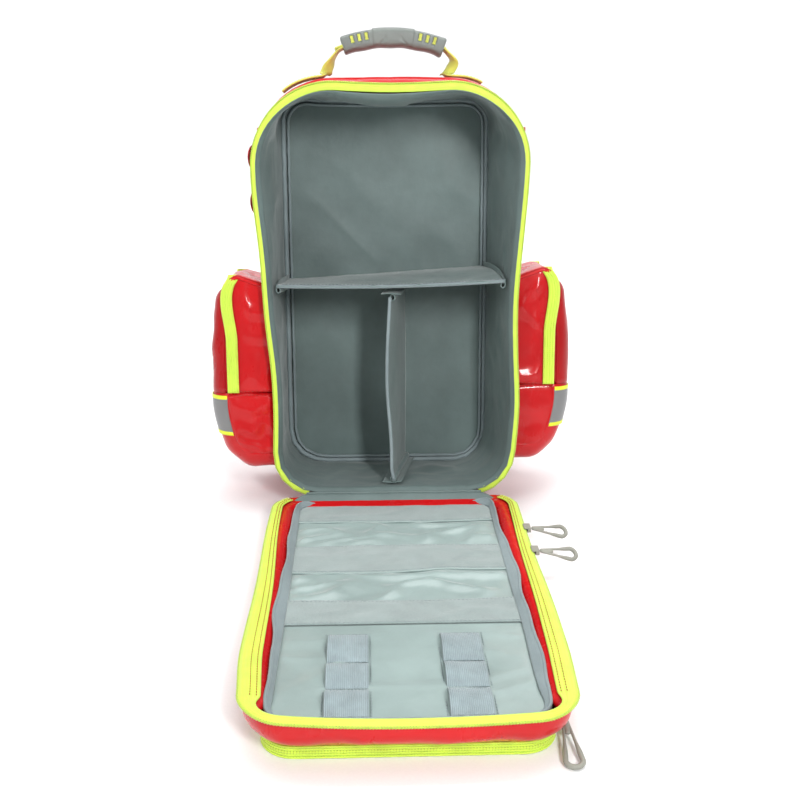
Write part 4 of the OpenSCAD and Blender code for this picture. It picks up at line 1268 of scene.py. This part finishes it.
grid = rows_of(np.array([11.0, 13.5, 16, 18, 20, 22, 25.0]), border_row)
grid = grid + MM * (0.6 * waves(grid, 40))[..., None] * DOOR_UP
shape = Shape()
shape.sheet(grid[::-1], 1.4)
shape.make("door_border_cloth", M_RED, "door", "pvc_red", ["door_border"])

# Gusset: the soft side wall from the rim down to the outer pocket
levels = np.concatenate([[0, 0.05, 0.12], np.linspace(0.2, 1, 12)])


def closed_door(side, far, near, near_r, far_r, floor=40):
    path = door_outline(side, far, near, near_r, far_r)
    back_edge = np.linspace(path[-1, 0], path[0, 0], floor + 2)[1:-1]
    return np.concatenate([path, np.stack([back_edge, np.full(floor, near)], -1)])


def gusset_row(t):
    top = closed_door(2.5, 2.5, 4.5, 23.5, 42.5)
    low = closed_door(RING_IN + 1.5, RING_FAR + 1.5, RING_NEAR + 1.5, RING_R - 1.5, RING_R - 1.5)
    x, s, h = warp(top, GUSSET_TOP - 0.6)
    low_h = over_ground(low[:, 1], RING_H)
    bulge = 5.0 * math.sin(math.pi * t) * smooth((s - 60) / 80)
    middle = np.array([0.0, 250.0])
    direction = unit(np.stack([x, s], -1) - middle)
    px = mix(x, low[:, 0], t) + direction[:, 0] * bulge
    ps = mix(s, low[:, 1], t) + direction[:, 1] * bulge
    return door_point(px, ps, mix(h, low_h, t) - 0.35 * bulge)


gusset = np.array([gusset_row(t) for t in levels])
folds = 1.7 * creases(gusset, 46, 2.0) + 1.3 * waves(gusset, 60, shift=5.0)
loose = smooth(((HINGE[1] - gusset[..., 1]) / MM - 45) / 60)
gusset = push(gusset, -folds * loose * np.sin(np.pi * levels)[:, None], closed=True)
shape = Shape()
shape.sheet(gusset, 2.4, closed=True)
shape.make("door_gusset_cloth", M_RED, "door", "pvc_red", ["door_gusset"])

# Outer pocket: ribbed zip band round it, and its padded lid on the ground
ring_path = closed_door(RING_IN + RING_T / 2, RING_FAR + RING_T / 2, RING_NEAR + RING_T / 2,
                        RING_R - RING_T / 2, RING_R - RING_T / 2)
grid = rows_of(np.linspace(0.9, RING_H - 1.2, 9), lambda z: ground_point(
    ring_path[:, 0], ring_path[:, 1] + 1.2 * math.sin(z / RING_H * math.pi), z))
shape = Shape()
shape.sheet(grid[::-1], 2.2, closed=True)
shape.make("front_pocket_zip_band", M_LIME, "door", "lime_zip", ["front_pocket_tape"])
shape = Shape()
outside = closed_door(RING_IN - 0.1, RING_FAR - 0.9, RING_NEAR - 0.1, RING_R + 0.1, RING_R + 0.1)
for z, radius in ((1.6, 1.0), (4.4, 0.9), (7.0, 1.1), (9.6, 0.9), (12.2, 1.0)):
    line = ground_point(outside[:, 0], outside[:, 1], z)
    shape.tube(even(np.concatenate([line, line[:1]]), 6 * MM)[:-1], radius, sides=6, closed=True)
shape.make("front_pocket_cords", M_LIME, "door", "lime_zip")
shape = Shape()
line = ground_point(outside[:, 0], outside[:, 1], 7.0)
line = even(np.concatenate([line, line[:1]]), 2.6 * MM)
shape.seeds(line - np.array([0, 0, 1.5 * MM]), line + np.array([0, 0, 1.5 * MM]), 1.0)
shape.make("front_pocket_zip_teeth", M_COIL, "door", "lime_zip")

inside = closed_door(RING_IN + RING_T + 0.7, RING_FAR + RING_T + 0.7, RING_NEAR + RING_T + 0.7,
                     RING_R - 4, RING_R - 4)
lid_middle = np.array([0.0, 255.0])
grid = rows_of(np.concatenate([[1, 0.985, 0.96, 0.92], np.linspace(0.86, 0.02, 22)]),
               lambda k: ground_point((lid_middle + (inside - lid_middle) * k)[:, 0],
                                      (lid_middle + (inside - lid_middle) * k)[:, 1], 2.0))
grid = grid + MM * (0.5 * creases(grid, 80) - 0.2 * waves(grid, 70))[..., None] * np.array([0, 0, 1.0])
shape = Shape()
shape.sheet(grid, 2.6, closed=True)
shape.make("front_pocket_lid_cloth", M_RED, "front_lid", "pvc_red", ["front_pocket_lid"])


# Organiser board with its bound edge
def board_ring(inset, r_near=18.0, r_far=22.0):
    return closed_door(BOARD_IN + inset, BOARD_IN - 12 + inset, BOARD_NEAR + inset,
                       r_near - inset * 0.4, r_far - inset * 0.6)


board_middle = np.array([0.0, 260.0])
board_steps = np.concatenate([[1, 0.985, 0.96], np.linspace(0.93, 0.02, 26)])
loop = board_ring(1.0)
grid = rows_of(board_steps, lambda k: door_point((board_middle + (loop - board_middle) * k)[:, 0],
                                                 (board_middle + (loop - board_middle) * k)[:, 1],
                                                 BOARD_TOP - 1.5))
grid = grid + MM * (0.8 * waves(grid, 60) - 0.5)[..., None] * DOOR_UP
shape = Shape()
shape.sheet(grid, 2.2, closed=True)
shape.make("door_board_cloth", M_LINING, "door", "lining_grey", ["door_board"])

# Hem: a folded grey ribbon that leans out along the board's sides, wavering, and lies low at its ends
shape = Shape()
hem_levels = np.linspace(0, 1, 9)


def hem_row(t):
    path = board_ring(4.5)
    x, s = path[:, 0], path[:, 1]
    side = smooth((np.abs(x) - 84) / 30) * smooth((486 - s) / 40)
    wave = 2.4 * np.sin(s / 31.0 + 1.6 * np.sign(x)) + 1.3 * np.sin(s / 13.0 + x / 40)
    extra = 5.0 * smooth((s - 330) / 110) * (x > 0)
    out = side * (t * (6.5 + 0.8 * wave) - (1 - t) * (2.5 + extra)) + (1 - side) * 1.5 * t
    path = path + unit(path - board_middle) * out[:, None]
    tall = 0.2 + side * (4.4 + 0.8 * np.sin(s / 47.0 + 2 * np.sign(x)))
    return door_point(path[:, 0], path[:, 1], BOARD_TOP + 0.5 + 2.4 * side + tall * math.sin(t * 1.35))


grid = np.array([hem_row(t) for t in hem_levels])
grid = push(grid, 0.8 * waves(grid, 12, 1) * hem_levels[:, None], closed=True)
shape.sheet(grid[::-1], 1.5, closed=True)
line = even(np.concatenate([grid[-1], grid[-1][:1]]), 4 * MM)[:-1]
shape.tube(line, 1.7 + 0.3 * waves(line, 10, 1), sides=8, closed=True)
line = even(np.concatenate([grid[1], grid[1][:1]]), 4 * MM)[:-1]
shape.tube(line, 0.9, sides=6, closed=True)
shape.make("door_hem_binding", M_HEM, "door", "lining_grey", ["door_hem"])


# Loop-pile bands and the two sheer pockets between them
def waver(x, which):
    """How far a band's edge strays along the door, pulled about by the slack pockets."""
    return {"near": 3.0 * np.sin(x / 52 + 0.6) - x * 0.03,
            "mid_top": -5.0 * np.exp(-((x - 38) / 42) ** 2) + 2.0 * np.sin(x / 30),
            "mid_low": 2.6 * np.sin(x / 47 + 2.6) - 4.0 * np.exp(-((x - 48) / 26) ** 2),
            "far_top": 3.2 * np.sin(x / 62 + 1.2) - x * 0.012,
            "none": 0.0 * x}[which]


def panel(s0, s1, half, level, wrinkle, edges=("none", "none"), size=34, shift=0.0):
    """Cloth lying on the board between two lines across it, wrinkled obliquely between its seams."""
    xs = np.linspace(-half, half, int(2 * half / 3.5) + 1)
    ts = np.linspace(0, 1, max(6, int((s1 - s0) / 3.0)))
    gx, gt = np.meshgrid(xs, ts)
    gs = mix(s0 + waver(gx, edges[0]), s1 + waver(gx, edges[1]), gt)
    grid = door_point(gx * (1 - 0.1 * smooth((38 - gs) / 24)), gs, np.full(gx.shape, float(level)))
    hold = smooth(gt * 4) * smooth((1 - gt) * 4)
    sides = smooth((half - np.abs(gx)) / 12)
    slant = np.stack([gx * 0.55 - gs * 0.5, gs * 1.5 + gx * 0.5, gs * 0], -1) * MM
    height = wrinkle * (creases(slant, size, shift, 1.3) + 0.35 * waves(grid, 26, shift=shift)) * hold * sides
    return grid + MM * height[..., None] * DOOR_UP


BAND_HW = DOOR_HW - BOARD_IN - 4
BANDS = (("near", 17, 70, BAND_HW, ("none", "near")), ("mid", 142, 206, BAND_HW, ("mid_top", "mid_low")),
         ("far", 272, 322, BAND_HW, ("far_top", "none")))
thread = Shape()
for name, s0, s1, half, edges in BANDS:
    shape = Shape()
    shape.sheet(panel(s0, s1, half, BOARD_TOP + 2.0, 0.8, edges, size=50, shift=s0), 1.2)
    shape.make(f"loop_band_{name}_pile", M_PILE, "door", "loop_grey", [f"loop_band_{name}"])
    x = np.linspace(-half + 2, half - 2, 90)
    for s, edge, off in ((s0, edges[0], 2.0), (s1, edges[1], -2.0)):
        stitch_line(thread, door_point(x, s + off + waver(x, edge), BOARD_TOP + 2.8), 4.2, 2.9, 0.4)
thread.make("loop_band_stitching", M_GREY_THREAD, "door", "loop_grey")
shape = Shape()
shape.sheet(panel(68, 146, BAND_HW, BOARD_TOP + 0.9, 5.6, ("near", "mid_top"), size=52, shift=1.0), 0.9)
shape.sheet(panel(204, 276, BAND_HW, BOARD_TOP + 0.9, 5.2, ("mid_low", "far_top"), size=48, shift=3.0), 0.9)
organiser = shape.make("organiser_pocket_cloth", M_SILVER, "door", "organiser_silver", ["organiser_pockets"])
# Turned-over openings of the sheer pockets
shape = Shape()
for s, edge in ((72.0, "near"), (208.0, "mid_low")):
    x = np.linspace(-BAND_HW + 1, BAND_HW - 1, 60)
    line = door_point(x, s + waver(x, edge), BOARD_TOP + 2.4)
    line = line + MM * (0.6 * waves(line, 18, 1))[:, None] * DOOR_UP
    shape.tube(line, 1.4, sides=8, flat=0.7)
shape.make("organiser_pocket_hems", M_SILVER, "door", "organiser_silver")

# Lower panel under the elastic: silvery, slightly dished and creased
shape = Shape()
shape.sheet(panel(320, 487, BAND_HW + 1, BOARD_TOP + 0.3, 1.8, size=78, shift=6.0), 0.8)
lower_panel = shape.make("organiser_lower_panel", M_SILVER, "door", "organiser_silver")

# Elastic: three loops to a strip, sewn down between them, sides lifted
ELASTIC_S = (342.0, 394.0, 438.0, 482.0)
ELASTIC_X, ELASTIC_W = 53.0, 37.0
shape, thread = Shape(), Shape()
for sign in (-1, 1):
    for k in range(3):
        s0, s1 = ELASTIC_S[k] + 1, ELASTIC_S[k + 1] - 1
        t = np.linspace(0, 1, 22)
        s = mix(s0, s1, t)
        rows = []
        for j in np.linspace(0, 1, 9):
            x = sign * ELASTIC_X - ELASTIC_W / 2 + ELASTIC_W * j
            side_lift = 1 - 0.55 * smooth(j * 1.2)
            h = 0.9 + (7.4 * side_lift) * np.sin(np.pi * t) ** 0.8
            rows.append(door_point(x, s, BOARD_TOP + 0.6 + h))
        shape.sheet(np.array(rows), 1.1)
    seam = np.linspace(sign * ELASTIC_X - 17, sign * ELASTIC_X + 17, 13)
    for s in ELASTIC_S:
        s = min(max(s, ELASTIC_S[0] + 1.5), ELASTIC_S[-1] - 1.5)
        stitch_line(thread, door_point(seam, s, BOARD_TOP + 2.4), 3.2, 2.4, 0.5)
    s = np.linspace(ELASTIC_S[0], ELASTIC_S[-1], 70)
    for dx in (-21.0, 21.0):
        stitch_line(thread, door_point(sign * ELASTIC_X + dx, s, BOARD_TOP + 1.4), 4.4, 3.0, 0.5)
shape.make("elastic_loop_bands", M_ELASTIC, "door", "elastic_grey", ["elastic_loops"])
thread.make("elastic_stitching", M_GREY_THREAD, "door", "organiser_silver")

# Fabric hinge: the lining runs on over the hinge to the organiser board, gathered along its seam
xs = np.linspace(-106, 106, 70)
vs = np.concatenate([np.linspace(11.0, 0.0, 8), np.linspace(-1.0, -19.0, 13)])


def hinge_row(v):
    if v >= 0:
        return body_point(xs, v, -0.4 + 0 * xs)
    drop = smooth((-v - 3) / 17) * (-BOARD_TOP - 1.4)
    return door_point(xs * (1 + 0.23 * smooth(-v / 18) ** 0.7), -v, -0.4 - drop + 0 * xs)


grid = np.array([hinge_row(v) for v in vs])
gather = 0.7 * waves(grid, 9, 1) * np.exp(-((vs + 4) / 6) ** 2)[:, None] + 0.35 * waves(grid, 25)
grid = grid + MM * gather[..., None] * UP
shape = Shape()
shape.sheet(grid, 0.8)
line = grid[9]
shape.tube(line + 1.0 * MM * DOOR_UP, 1.7 + 0.5 * waves(line, 8, 1), sides=8)
web = shape.make("hinge_web_cloth", M_LINING, None, "lining_grey", ["hinge_web"])
tuple(body_point(0, 3.0, 0.0))
tuple(door_point(0, 3.0, 0.0))
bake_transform(web)

# ---------------------------------------------------------------- shelf and centre divider
DIV_T = 5.0
SHELF_U, SHELF_TILT = 264.0, math.radians(3.4)
V0, V1 = 10.0, 136.0


def padded(name, grid, thick, material, body, slot, replaces, pillow=1.4):
    """A padded cloth panel: thickest between its edges, its faces gently quilted."""
    rows, cols = grid.shape[:2]
    a = np.sin(np.pi * np.linspace(0.04, 0.96, rows)) ** 0.4
    b = np.sin(np.pi * np.linspace(0.02, 0.98, cols)) ** 0.4
    swell = a[:, None] * b[None, :]
    body_t = thick * (0.72 + 0.28 * swell) + pillow * 0.4 * waves(grid, 40) * swell
    shape = Shape()
    shape.sheet(grid, body_t)
    piece = shape.make(name, material, body, slot, replaces)
    return piece


def shelf_point(x, v, lift=0.0):
    u = SHELF_U + x * math.sin(SHELF_TILT) + lift
    return body_point(x * math.cos(SHELF_TILT), v, u)


front_half = half_w(SHELF_U, V0) - 14.0
rear_half = half_w(SHELF_U, V1) - 14.0
ts = np.linspace(-1, 1, 90)
rows = np.linspace(V0, V1, 30)


def shelf_half(v, side):
    """Reach of the shelf at depth v on one side, following the wall as it bows."""
    half = mix(front_half, rear_half, (v - V0) / (V1 - V0))
    return half + bow(np.array([[side * 150.0, SHELF_U]]), v)[0]


def shelf_dip(x, v):
    """The shelf sags at its front edge and twists down to the right."""
    front = smooth(1 - (v - V0) / 90)
    return -front * (3.2 + 6.0 * x / 140 + 3.2 * np.cos(np.pi * x / 280))


def shelf_row(v):
    x = np.where(ts > 0, ts * (shelf_half(v, 1) - 1), ts * (shelf_half(v, -1) - 1))
    return shelf_point(x, v, shelf_dip(x, v))


shelf_grid = rows_of(rows, shelf_row)
uneven = 0.9 * waves(shelf_grid, 48, shift=3.0) + 0.7 * creases(shelf_grid, 60, 5.0)
shelf_grid = shelf_grid + MM * uneven[..., None] * UP
# The shelf wears the lining grey brightened as painted light.
padded("shelf_divider_pad", shelf_grid[::-1], DIV_T - 1.6, M_LIT_LINING, "shelf", "lining_grey",
       ["shelf_divider"])

# The shelf's ends turn down into rolled hook tabs, and its front edge is bound
ends, bind = Shape(), Shape()
for sign in (-1, 1):
    vs = np.linspace(V0 + 0.5, V1 - 1, 32)
    half = np.array([shelf_half(v, sign) for v in vs])
    dip = shelf_dip(sign * half, vs)
    rolled = []
    for t in np.linspace(0, 1, 14):
        a = TURN * 0.86 * t
        r = 4.6 - 1.7 * t
        rolled.append(shelf_point(sign * (half - 2.6 + r * np.sin(a) * 0.7), vs, dip - 4.6 + r * np.cos(a)))
    grid = np.array(rolled)
    grid = grid + MM * (0.5 * waves(grid, 14, 1))[..., None] * UP
    ends.sheet(grid if sign > 0 else grid[::-1], 1.2)
    # the flat of the hook tape against the wall, narrow at the front
    line = []
    for k in np.linspace(-1, 1, 8):
        reach = mix(4.0, 9.0, smooth((vs - V0) / 40))
        line.append(shelf_point(sign * (half + 0.4 - 0.4 * abs(k)), vs, dip + k * reach - 1.5))
    grid = np.array(line)
    ends.sheet(grid[::-1] if sign > 0 else grid, 0.9)
# The hook rolls wear the lining grey brightened as painted light.
ends.make("shelf_hook_rolls", M_LIT_LINING, "shelf", "loop_grey", ["shelf_hook_tapes"])
line = shelf_row(V0) - MM * FORWARD
bind.tube(even(line, 4 * MM), 2.3, sides=10)
line = shelf_row(V0 + 7) + MM * 2.4 * UP
stitch_line(bind, line[2:-2], 4.4, 3.0, 0.45)
bind.make("shelf_front_binding", M_HEM, "shelf", "lining_grey")

# Centre divider: its front edge wavers between rolled ends
DIV_X, DIV_LOW, DIV_TOP = -3.5, 8.0, 256.0
us = np.linspace(DIV_LOW + 4, DIV_TOP - 6, 64)
vs = np.linspace(V0 + 3, V1 - 1, 28)


def skew(v):
    """The divider runs obliquely: its back edge stands to the right of its front edge."""
    return 22.0 * (v - 12.0) / 124.0


def divider_row(v):
    front = smooth(1 - (v - V0) / 70)
    bend = front * (1.2 + 2.2 * np.sin((us - 20) / 236 * math.pi * 1.9)
                    - 2.0 * np.exp(-((us - 150) / 60) ** 2)
                    - 4.5 * np.exp(-((us - 112) / 62) ** 2) + 4.0 * smooth((30 - us) / 24))
    return body_point(DIV_X + bend + skew(v), v, us - 6.5 * front * smooth((us - 160) / 90))


divider_grid = rows_of(vs, divider_row)
divider_grid = divider_grid + MM * (0.9 * waves(divider_grid, 52, shift=1.0))[..., None] * X
padded("centre_divider_pad", divider_grid, DIV_T - 1.4, M_LINING, "divider", "lining_grey",
       ["centre_divider"])
shape = Shape()
vs_roll = np.linspace(V0 + 2.4, V1 - 1, 30)
for at, sense in ((DIV_TOP - 5.2, 1), (DIV_LOW + 4.6, -1)):
    grid = []
    for t in np.linspace(0, 1, 16):
        a = TURN * 0.9 * t
        r = 4.4 - 1.5 * t
        dip = 6.5 * smooth(1 - (vs_roll - V0) / 70) * (sense > 0)
        grid.append(body_point(DIV_X + skew(vs_roll) + 2.4 + r * np.sin(a) * 0.9, vs_roll,
                               at - dip + sense * (r * np.cos(a) - 1.2)))
    grid = np.array(grid)
    shape.sheet(grid if sense > 0 else grid[::-1], 1.2)
    flat_x = np.linspace(DIV_X - 11, DIV_X + 13, 9)
    base = DIV_TOP - 0.8 if sense > 0 else DIV_LOW + 0.9
    grid = rows_of(vs_roll, lambda v: body_point(flat_x + skew(v), v,
                                                 base - sense * 0.008 * (flat_x - DIV_X) ** 2
                                                 - (6.5 * smooth(1 - (v - V0) / 70) if sense > 0 else 0)))
    shape.sheet(grid[::-1] if sense > 0 else grid, 0.9)
# The hook rolls wear the lining grey brightened as painted light.
shape.make("divider_hook_rolls", M_LIT_LINING, "divider", "loop_grey", ["divider_hook_tapes"])
shape = Shape()
line = divider_row(V0 + 2.0)
shape.tube(even(line, 4 * MM), 2.2, sides=10)
shape.make("divider_front_binding", M_HEM, "divider", "lining_grey")

# ---------------------------------------------------------------- harness on the back
BACK_OUT, PAD_T, STRAP_T, STRAP_W = 149.0, 14.0, 12.0, 60.0
STRAP_TOP, STRAP_DROP, STRAP_BULGE = 468.0, 330.0, 40.0
PAD_LOW, PAD_HIGH = 60.0, 430.0


def pad_edge(u):
    """Half-width of the back pad at height u, with rounded corners."""
    end = np.minimum(u - PAD_LOW, PAD_HIGH - u)
    return 112.0 - 26.0 * (1 - np.sqrt(np.clip(1 - (1 - np.clip(end / 26.0, 0, 1)) ** 2, 0, 1)))


us = np.concatenate([PAD_LOW + np.array([1, 2.5, 5, 9]), np.linspace(PAD_LOW + 14, PAD_HIGH - 14, 80),
                     PAD_HIGH - np.array([9, 5, 2.5, 1])])
ks = np.concatenate([[-1, -0.985, -0.955, -0.92], np.linspace(-0.88, 0.88, 64), [0.92, 0.955, 0.985, 1]])
gu, gk = np.meshgrid(us, ks, indexing="ij")
gx = gk * pad_edge(gu)
dome = (1 - np.abs(gk) ** 6) * (1 - np.abs((gu - 245) / 185.0) ** 12)
channel = (np.exp(-((gu - 180) / 4.0) ** 2) + np.exp(-((gu - 310) / 4.0) ** 2)
           + np.exp(-((np.abs(gx) - 34) / 4.0) ** 2) * smooth((np.abs(gu - 245) - 20) / 10 + 1))
height = 4.0 + 9.2 * np.clip(dome, 0, 1) ** 0.6 * (1 - 0.62 * np.clip(channel, 0, 1))
front_face = body_point(gx, BACK_OUT + height, gu)
front_face = front_face - MM * (0.5 * waves(front_face, 26))[..., None] * FORWARD
base_face = body_point(gx, BACK_OUT + 0.6, gu)
shape = Shape()
top = shape.take(front_face)
shape.quads(top, run(front_face, 1), run(front_face, 0))
rim = np.concatenate([top[0, :-1], top[:-1, -1], top[-1, :0:-1], top[:0:-1, 0]])
lower_index = shape.take(base_face.reshape(-1, 3)[rim - top[0, 0]])
wall = np.stack([rim, lower_index])
shape.quads(wall, np.arange(len(rim) + 1) * 4 * MM, np.array([0, 8 * MM]), closed=True, flip=True)
bottom = shape.take(base_face[1:-1, 1:-1])
full = np.empty(base_face.shape[:2], int)
full[1:-1, 1:-1] = bottom
tall, wide = full.shape[0] - 1, full.shape[1] - 1
full[0, :-1], full[:-1, -1] = lower_index[:wide], lower_index[wide:wide + tall]
rest = lower_index[wide + tall:]
full[-1, :0:-1] = rest[:wide]
full[:0:-1, 0] = rest[wide:]
shape.quads(full, run(base_face, 1), run(base_face, 0), flip=True)
pad = shape.make("back_pad_mesh", M_MESH, "compartment", "black_webbing", ["back_pad"])
shape = Shape()
edge_u = np.concatenate([us, us[::-1]])
edge_x = np.concatenate([pad_edge(us), -pad_edge(us[::-1])])
loop = body_point(edge_x, BACK_OUT + 4.2, edge_u)
loop = even(np.concatenate([loop, loop[:1]]), 5 * MM)[:-1]
shape.tube(loop, 2.2, sides=8, closed=True)
shape.make("back_pad_binding", M_BLACK_WEB, "compartment", "black_webbing")


def strap_line(t):
    """Middle line of a shoulder strap: x, depth and height, t from its top end down."""
    return (mix(52, 88, t), BACK_OUT + STRAP_T / 2 + 0.5 + PAD_T * np.minimum(1, t * 8)
            + STRAP_BULGE * np.sin(np.pi * t), STRAP_TOP - STRAP_DROP * t)


ts = np.linspace(0.004, 0.996, 110)
ks = np.concatenate([[-1, -0.96, -0.9, -0.8], np.linspace(-0.65, 0.65, 16), [0.8, 0.9, 0.96, 1]])
for sign in (-1, 1):
    side = "left" if sign < 0 else "right"
    x, v, u = strap_line(ts)
    narrowed = 1 - 0.25 * smooth((ts - 0.86) / 0.14)
    grid = rows_of(ks, lambda k: body_point(sign * (x + k * STRAP_W / 2 * narrowed * 0.97), v, u))
    across = (1 - np.abs(ks) ** 5)[:, None]
    ends = np.minimum(1, np.minimum(ts, 1 - ts) * 30)[None, :]
    thick = 3.0 + 8.2 * np.clip(across, 0, 1) ** 0.7 * (0.6 + 0.4 * ends)
    thick = thick * (1 - 0.18 * np.exp(-((np.abs(ks) - 0.42) / 0.07) ** 2)[:, None])
    shape = Shape()
    shape.sheet(grid if sign < 0 else grid[::-1], thick)
    shoulder = shape.make(f"{side}_shoulder_pad", M_BLACK, "compartment", "black_webbing",
                          [f"{side}_shoulder_strap"])
    shape = Shape()
    for k in (-0.985, 0.985):
        line = body_point(sign * (x + k * STRAP_W / 2 * narrowed * 0.97), v, u)
        shape.tube(even(line, 5 * MM), 2.3, sides=8, flat=1.1)
    v_out = v + STRAP_T / 2 + 0.2
    centre = body_point(sign * x, v_out, u)[6:-4]
    webbing(shape, centre if sign < 0 else centre[::-1], X, 25, 1.6)
    shape.make(f"{side}_shoulder_binding", M_BLACK_WEB, "compartment", "black_webbing")

# Lower adjusting straps through the ladder locks
LOCK_U, LOCK_V = STRAP_TOP - STRAP_DROP, BACK_OUT + PAD_T + 2
shape = Shape()
for sign in (-1, 1):
    x0 = sign * 88.0
    path = np.array([[LOCK_V + 2.2, LOCK_U - 8], [LOCK_V + 2.4, LOCK_U - 30],
                     [BACK_OUT + PAD_T + 3.2, PAD_LOW + 22], [BACK_OUT + PAD_T + 1.4, PAD_LOW + 2],
                     [BACK_OUT + 9, PAD_LOW - 9], [BACK_OUT + 2.4, PAD_LOW - 17],
                     [BACK_OUT + 1.8, PAD_LOW - 24]])
    line = even(path, 4.0)
    centre = body_point(x0, line[:, 0], line[:, 1])
    webbing(shape, centre, X, 24, 1.6)
shape.make("strap_webbing_lower", M_BLACK_WEB, "compartment", "black_webbing", ["strap_webbing"])

# Sternum strap webbing on the shoulder pads
shape = Shape()
t = 0.34
x, v, u = strap_line(t)
v = v + STRAP_T / 2 + 2.6
for sign in (-1, 1):
    line = np.linspace(19.5, 63, 22)
    centre = body_point(sign * line, v + 0.8 + 0.5 * np.sin(line / 9.0), u)
    webbing(shape, centre, UP, 20, 1.6)
shape.make("sternum_strap_webbing", M_BLACK_WEB, "compartment", "black_webbing", ["sternum_webbing"])

# ---------------------------------------------------------------- sliders and pulls
CAD_LOOKS = {
    M_GUARD: ["base_guard"],
    M_PLASTIC: ["ladder_locks", "sternum_socket", "sternum_plug"],
    M_PULL: ["left_pocket_slider", "right_pocket_slider", "main_slider_lower", "main_slider_upper",
             "front_slider"],
}
for material, names in CAD_LOOKS.items():
    for name in names:
        mesh = frame["nodes"][name].data
        mesh.materials.clear()
        mesh.materials.append(material)


def pull_path(length, r=7.4, tip=1.4, n=14):
    """Centre line of a teardrop loop in its own plane: narrow end at the origin, length along x."""
    centre = length - r - 1.6
    a = math.degrees(math.acos((r - tip) / centre))
    head = arc(centre, 0, r, -a, a, 2 * n)
    root = arc(tip + 1.4, 0, tip, a, 360 - a, 7)
    out, back = even([root[-1], head[0]], 3.0), even([head[-1], root[0]], 3.0)
    return np.concatenate([out[:-1], head, back[1:-1], root[:-1]])


def pull(name, node, body, origin, along, across, length):
    """Moulded loop pull: a cord root in a sleeve, a thin neck and a thicker open head."""
    along, across = unit(np.array(along)), unit(np.array(across))
    path = pull_path(length)
    line = np.array(origin) + MM * (path[:, :1] * along + path[:, 1:] * across)
    head = smooth((path[:, 0] - length * 0.45) / (length * 0.3))
    shape = Shape()
    shape.tube(line, 1.3 + 1.1 * head, sides=10, closed=True)
    sleeve = np.linspace(2.0, length * 0.34, 12)
    swell = 2.3 + 0.5 * np.sin(np.pi * np.linspace(0, 1, 12))
    shape.tube(np.array(origin) + MM * sleeve[:, None] * along, swell, sides=12, flat=0.8, across=across)
    shape.make(name, M_PULL, body, "pull_grey", [node])


for sign, side in ((-1, "left"), (1, "right")):
    at = body_point(sign * (CAP_X - 6.5), SIDE_V1 + 1.8 + 9, 149.0)
    pull(f"{side}_pocket_pull_loop", f"{side}_pocket_pull", f"{side}_side_pull", at, -UP, X, 50.0)
droop, PULL_TURN = math.radians(8), math.radians(30)
for s, side in ((112.0, "lower"), (174.0, "upper")):
    at = door_point(DOOR_HW + 8, s, -3.2)
    along = X * math.cos(droop) - DOOR_UP * math.sin(droop)
    turned = AWAY * math.cos(PULL_TURN) - DOOR_UP * math.sin(PULL_TURN)
    pull(f"main_pull_loop_{side}", f"main_pull_{side}", f"{side}_pull", at, along, turned, 43.0)
at = ground_point(DOOR_HW - RING_IN + 0.3 + 9, 448.0, 11.0)
along = np.array([0, -math.cos(droop), -math.sin(droop)])
pull("front_pull_loop", "front_pull", "front_pocket_pull", at, along, X, 60.0)

# ---------------------------------------------------------------- floor
# A pale paper floor that turns up far away all round, so that no horizon shows
around = TURN * np.arange(96) / 96
profile = [(r, 0.0) for r in (0.001, 0.4, 0.8, 1.4, 2.2, 3.0, 3.6)]
profile += [(3.6 + 1.4 * math.sin(a), 1.4 - 1.4 * math.cos(a)) for a in np.linspace(0.1, 1.5, 14)]
profile += [(5.0, 2.4), (5.0, 3.4)]
shape = Shape()
paper_rows = rows_of(profile, lambda at: np.stack(
    [at[0] * np.cos(around), at[0] * np.sin(around), 0 * around + at[1]], axis=-1))
index = shape.take(paper_rows)
shape.quads(index, np.arange(97) * 0.1, np.arange(len(profile)) * 0.3, closed=True, flip=True)
paper = Nodes("floor_paper")
paper.colour(paper.ramp(paper.noise(400, 2), (0.3, (0.84, 0.84, 0.84)), (0.7, (0.87, 0.87, 0.87))))
paper.set(Roughness=0.75)
floor = shape.make("floor", paper.material)
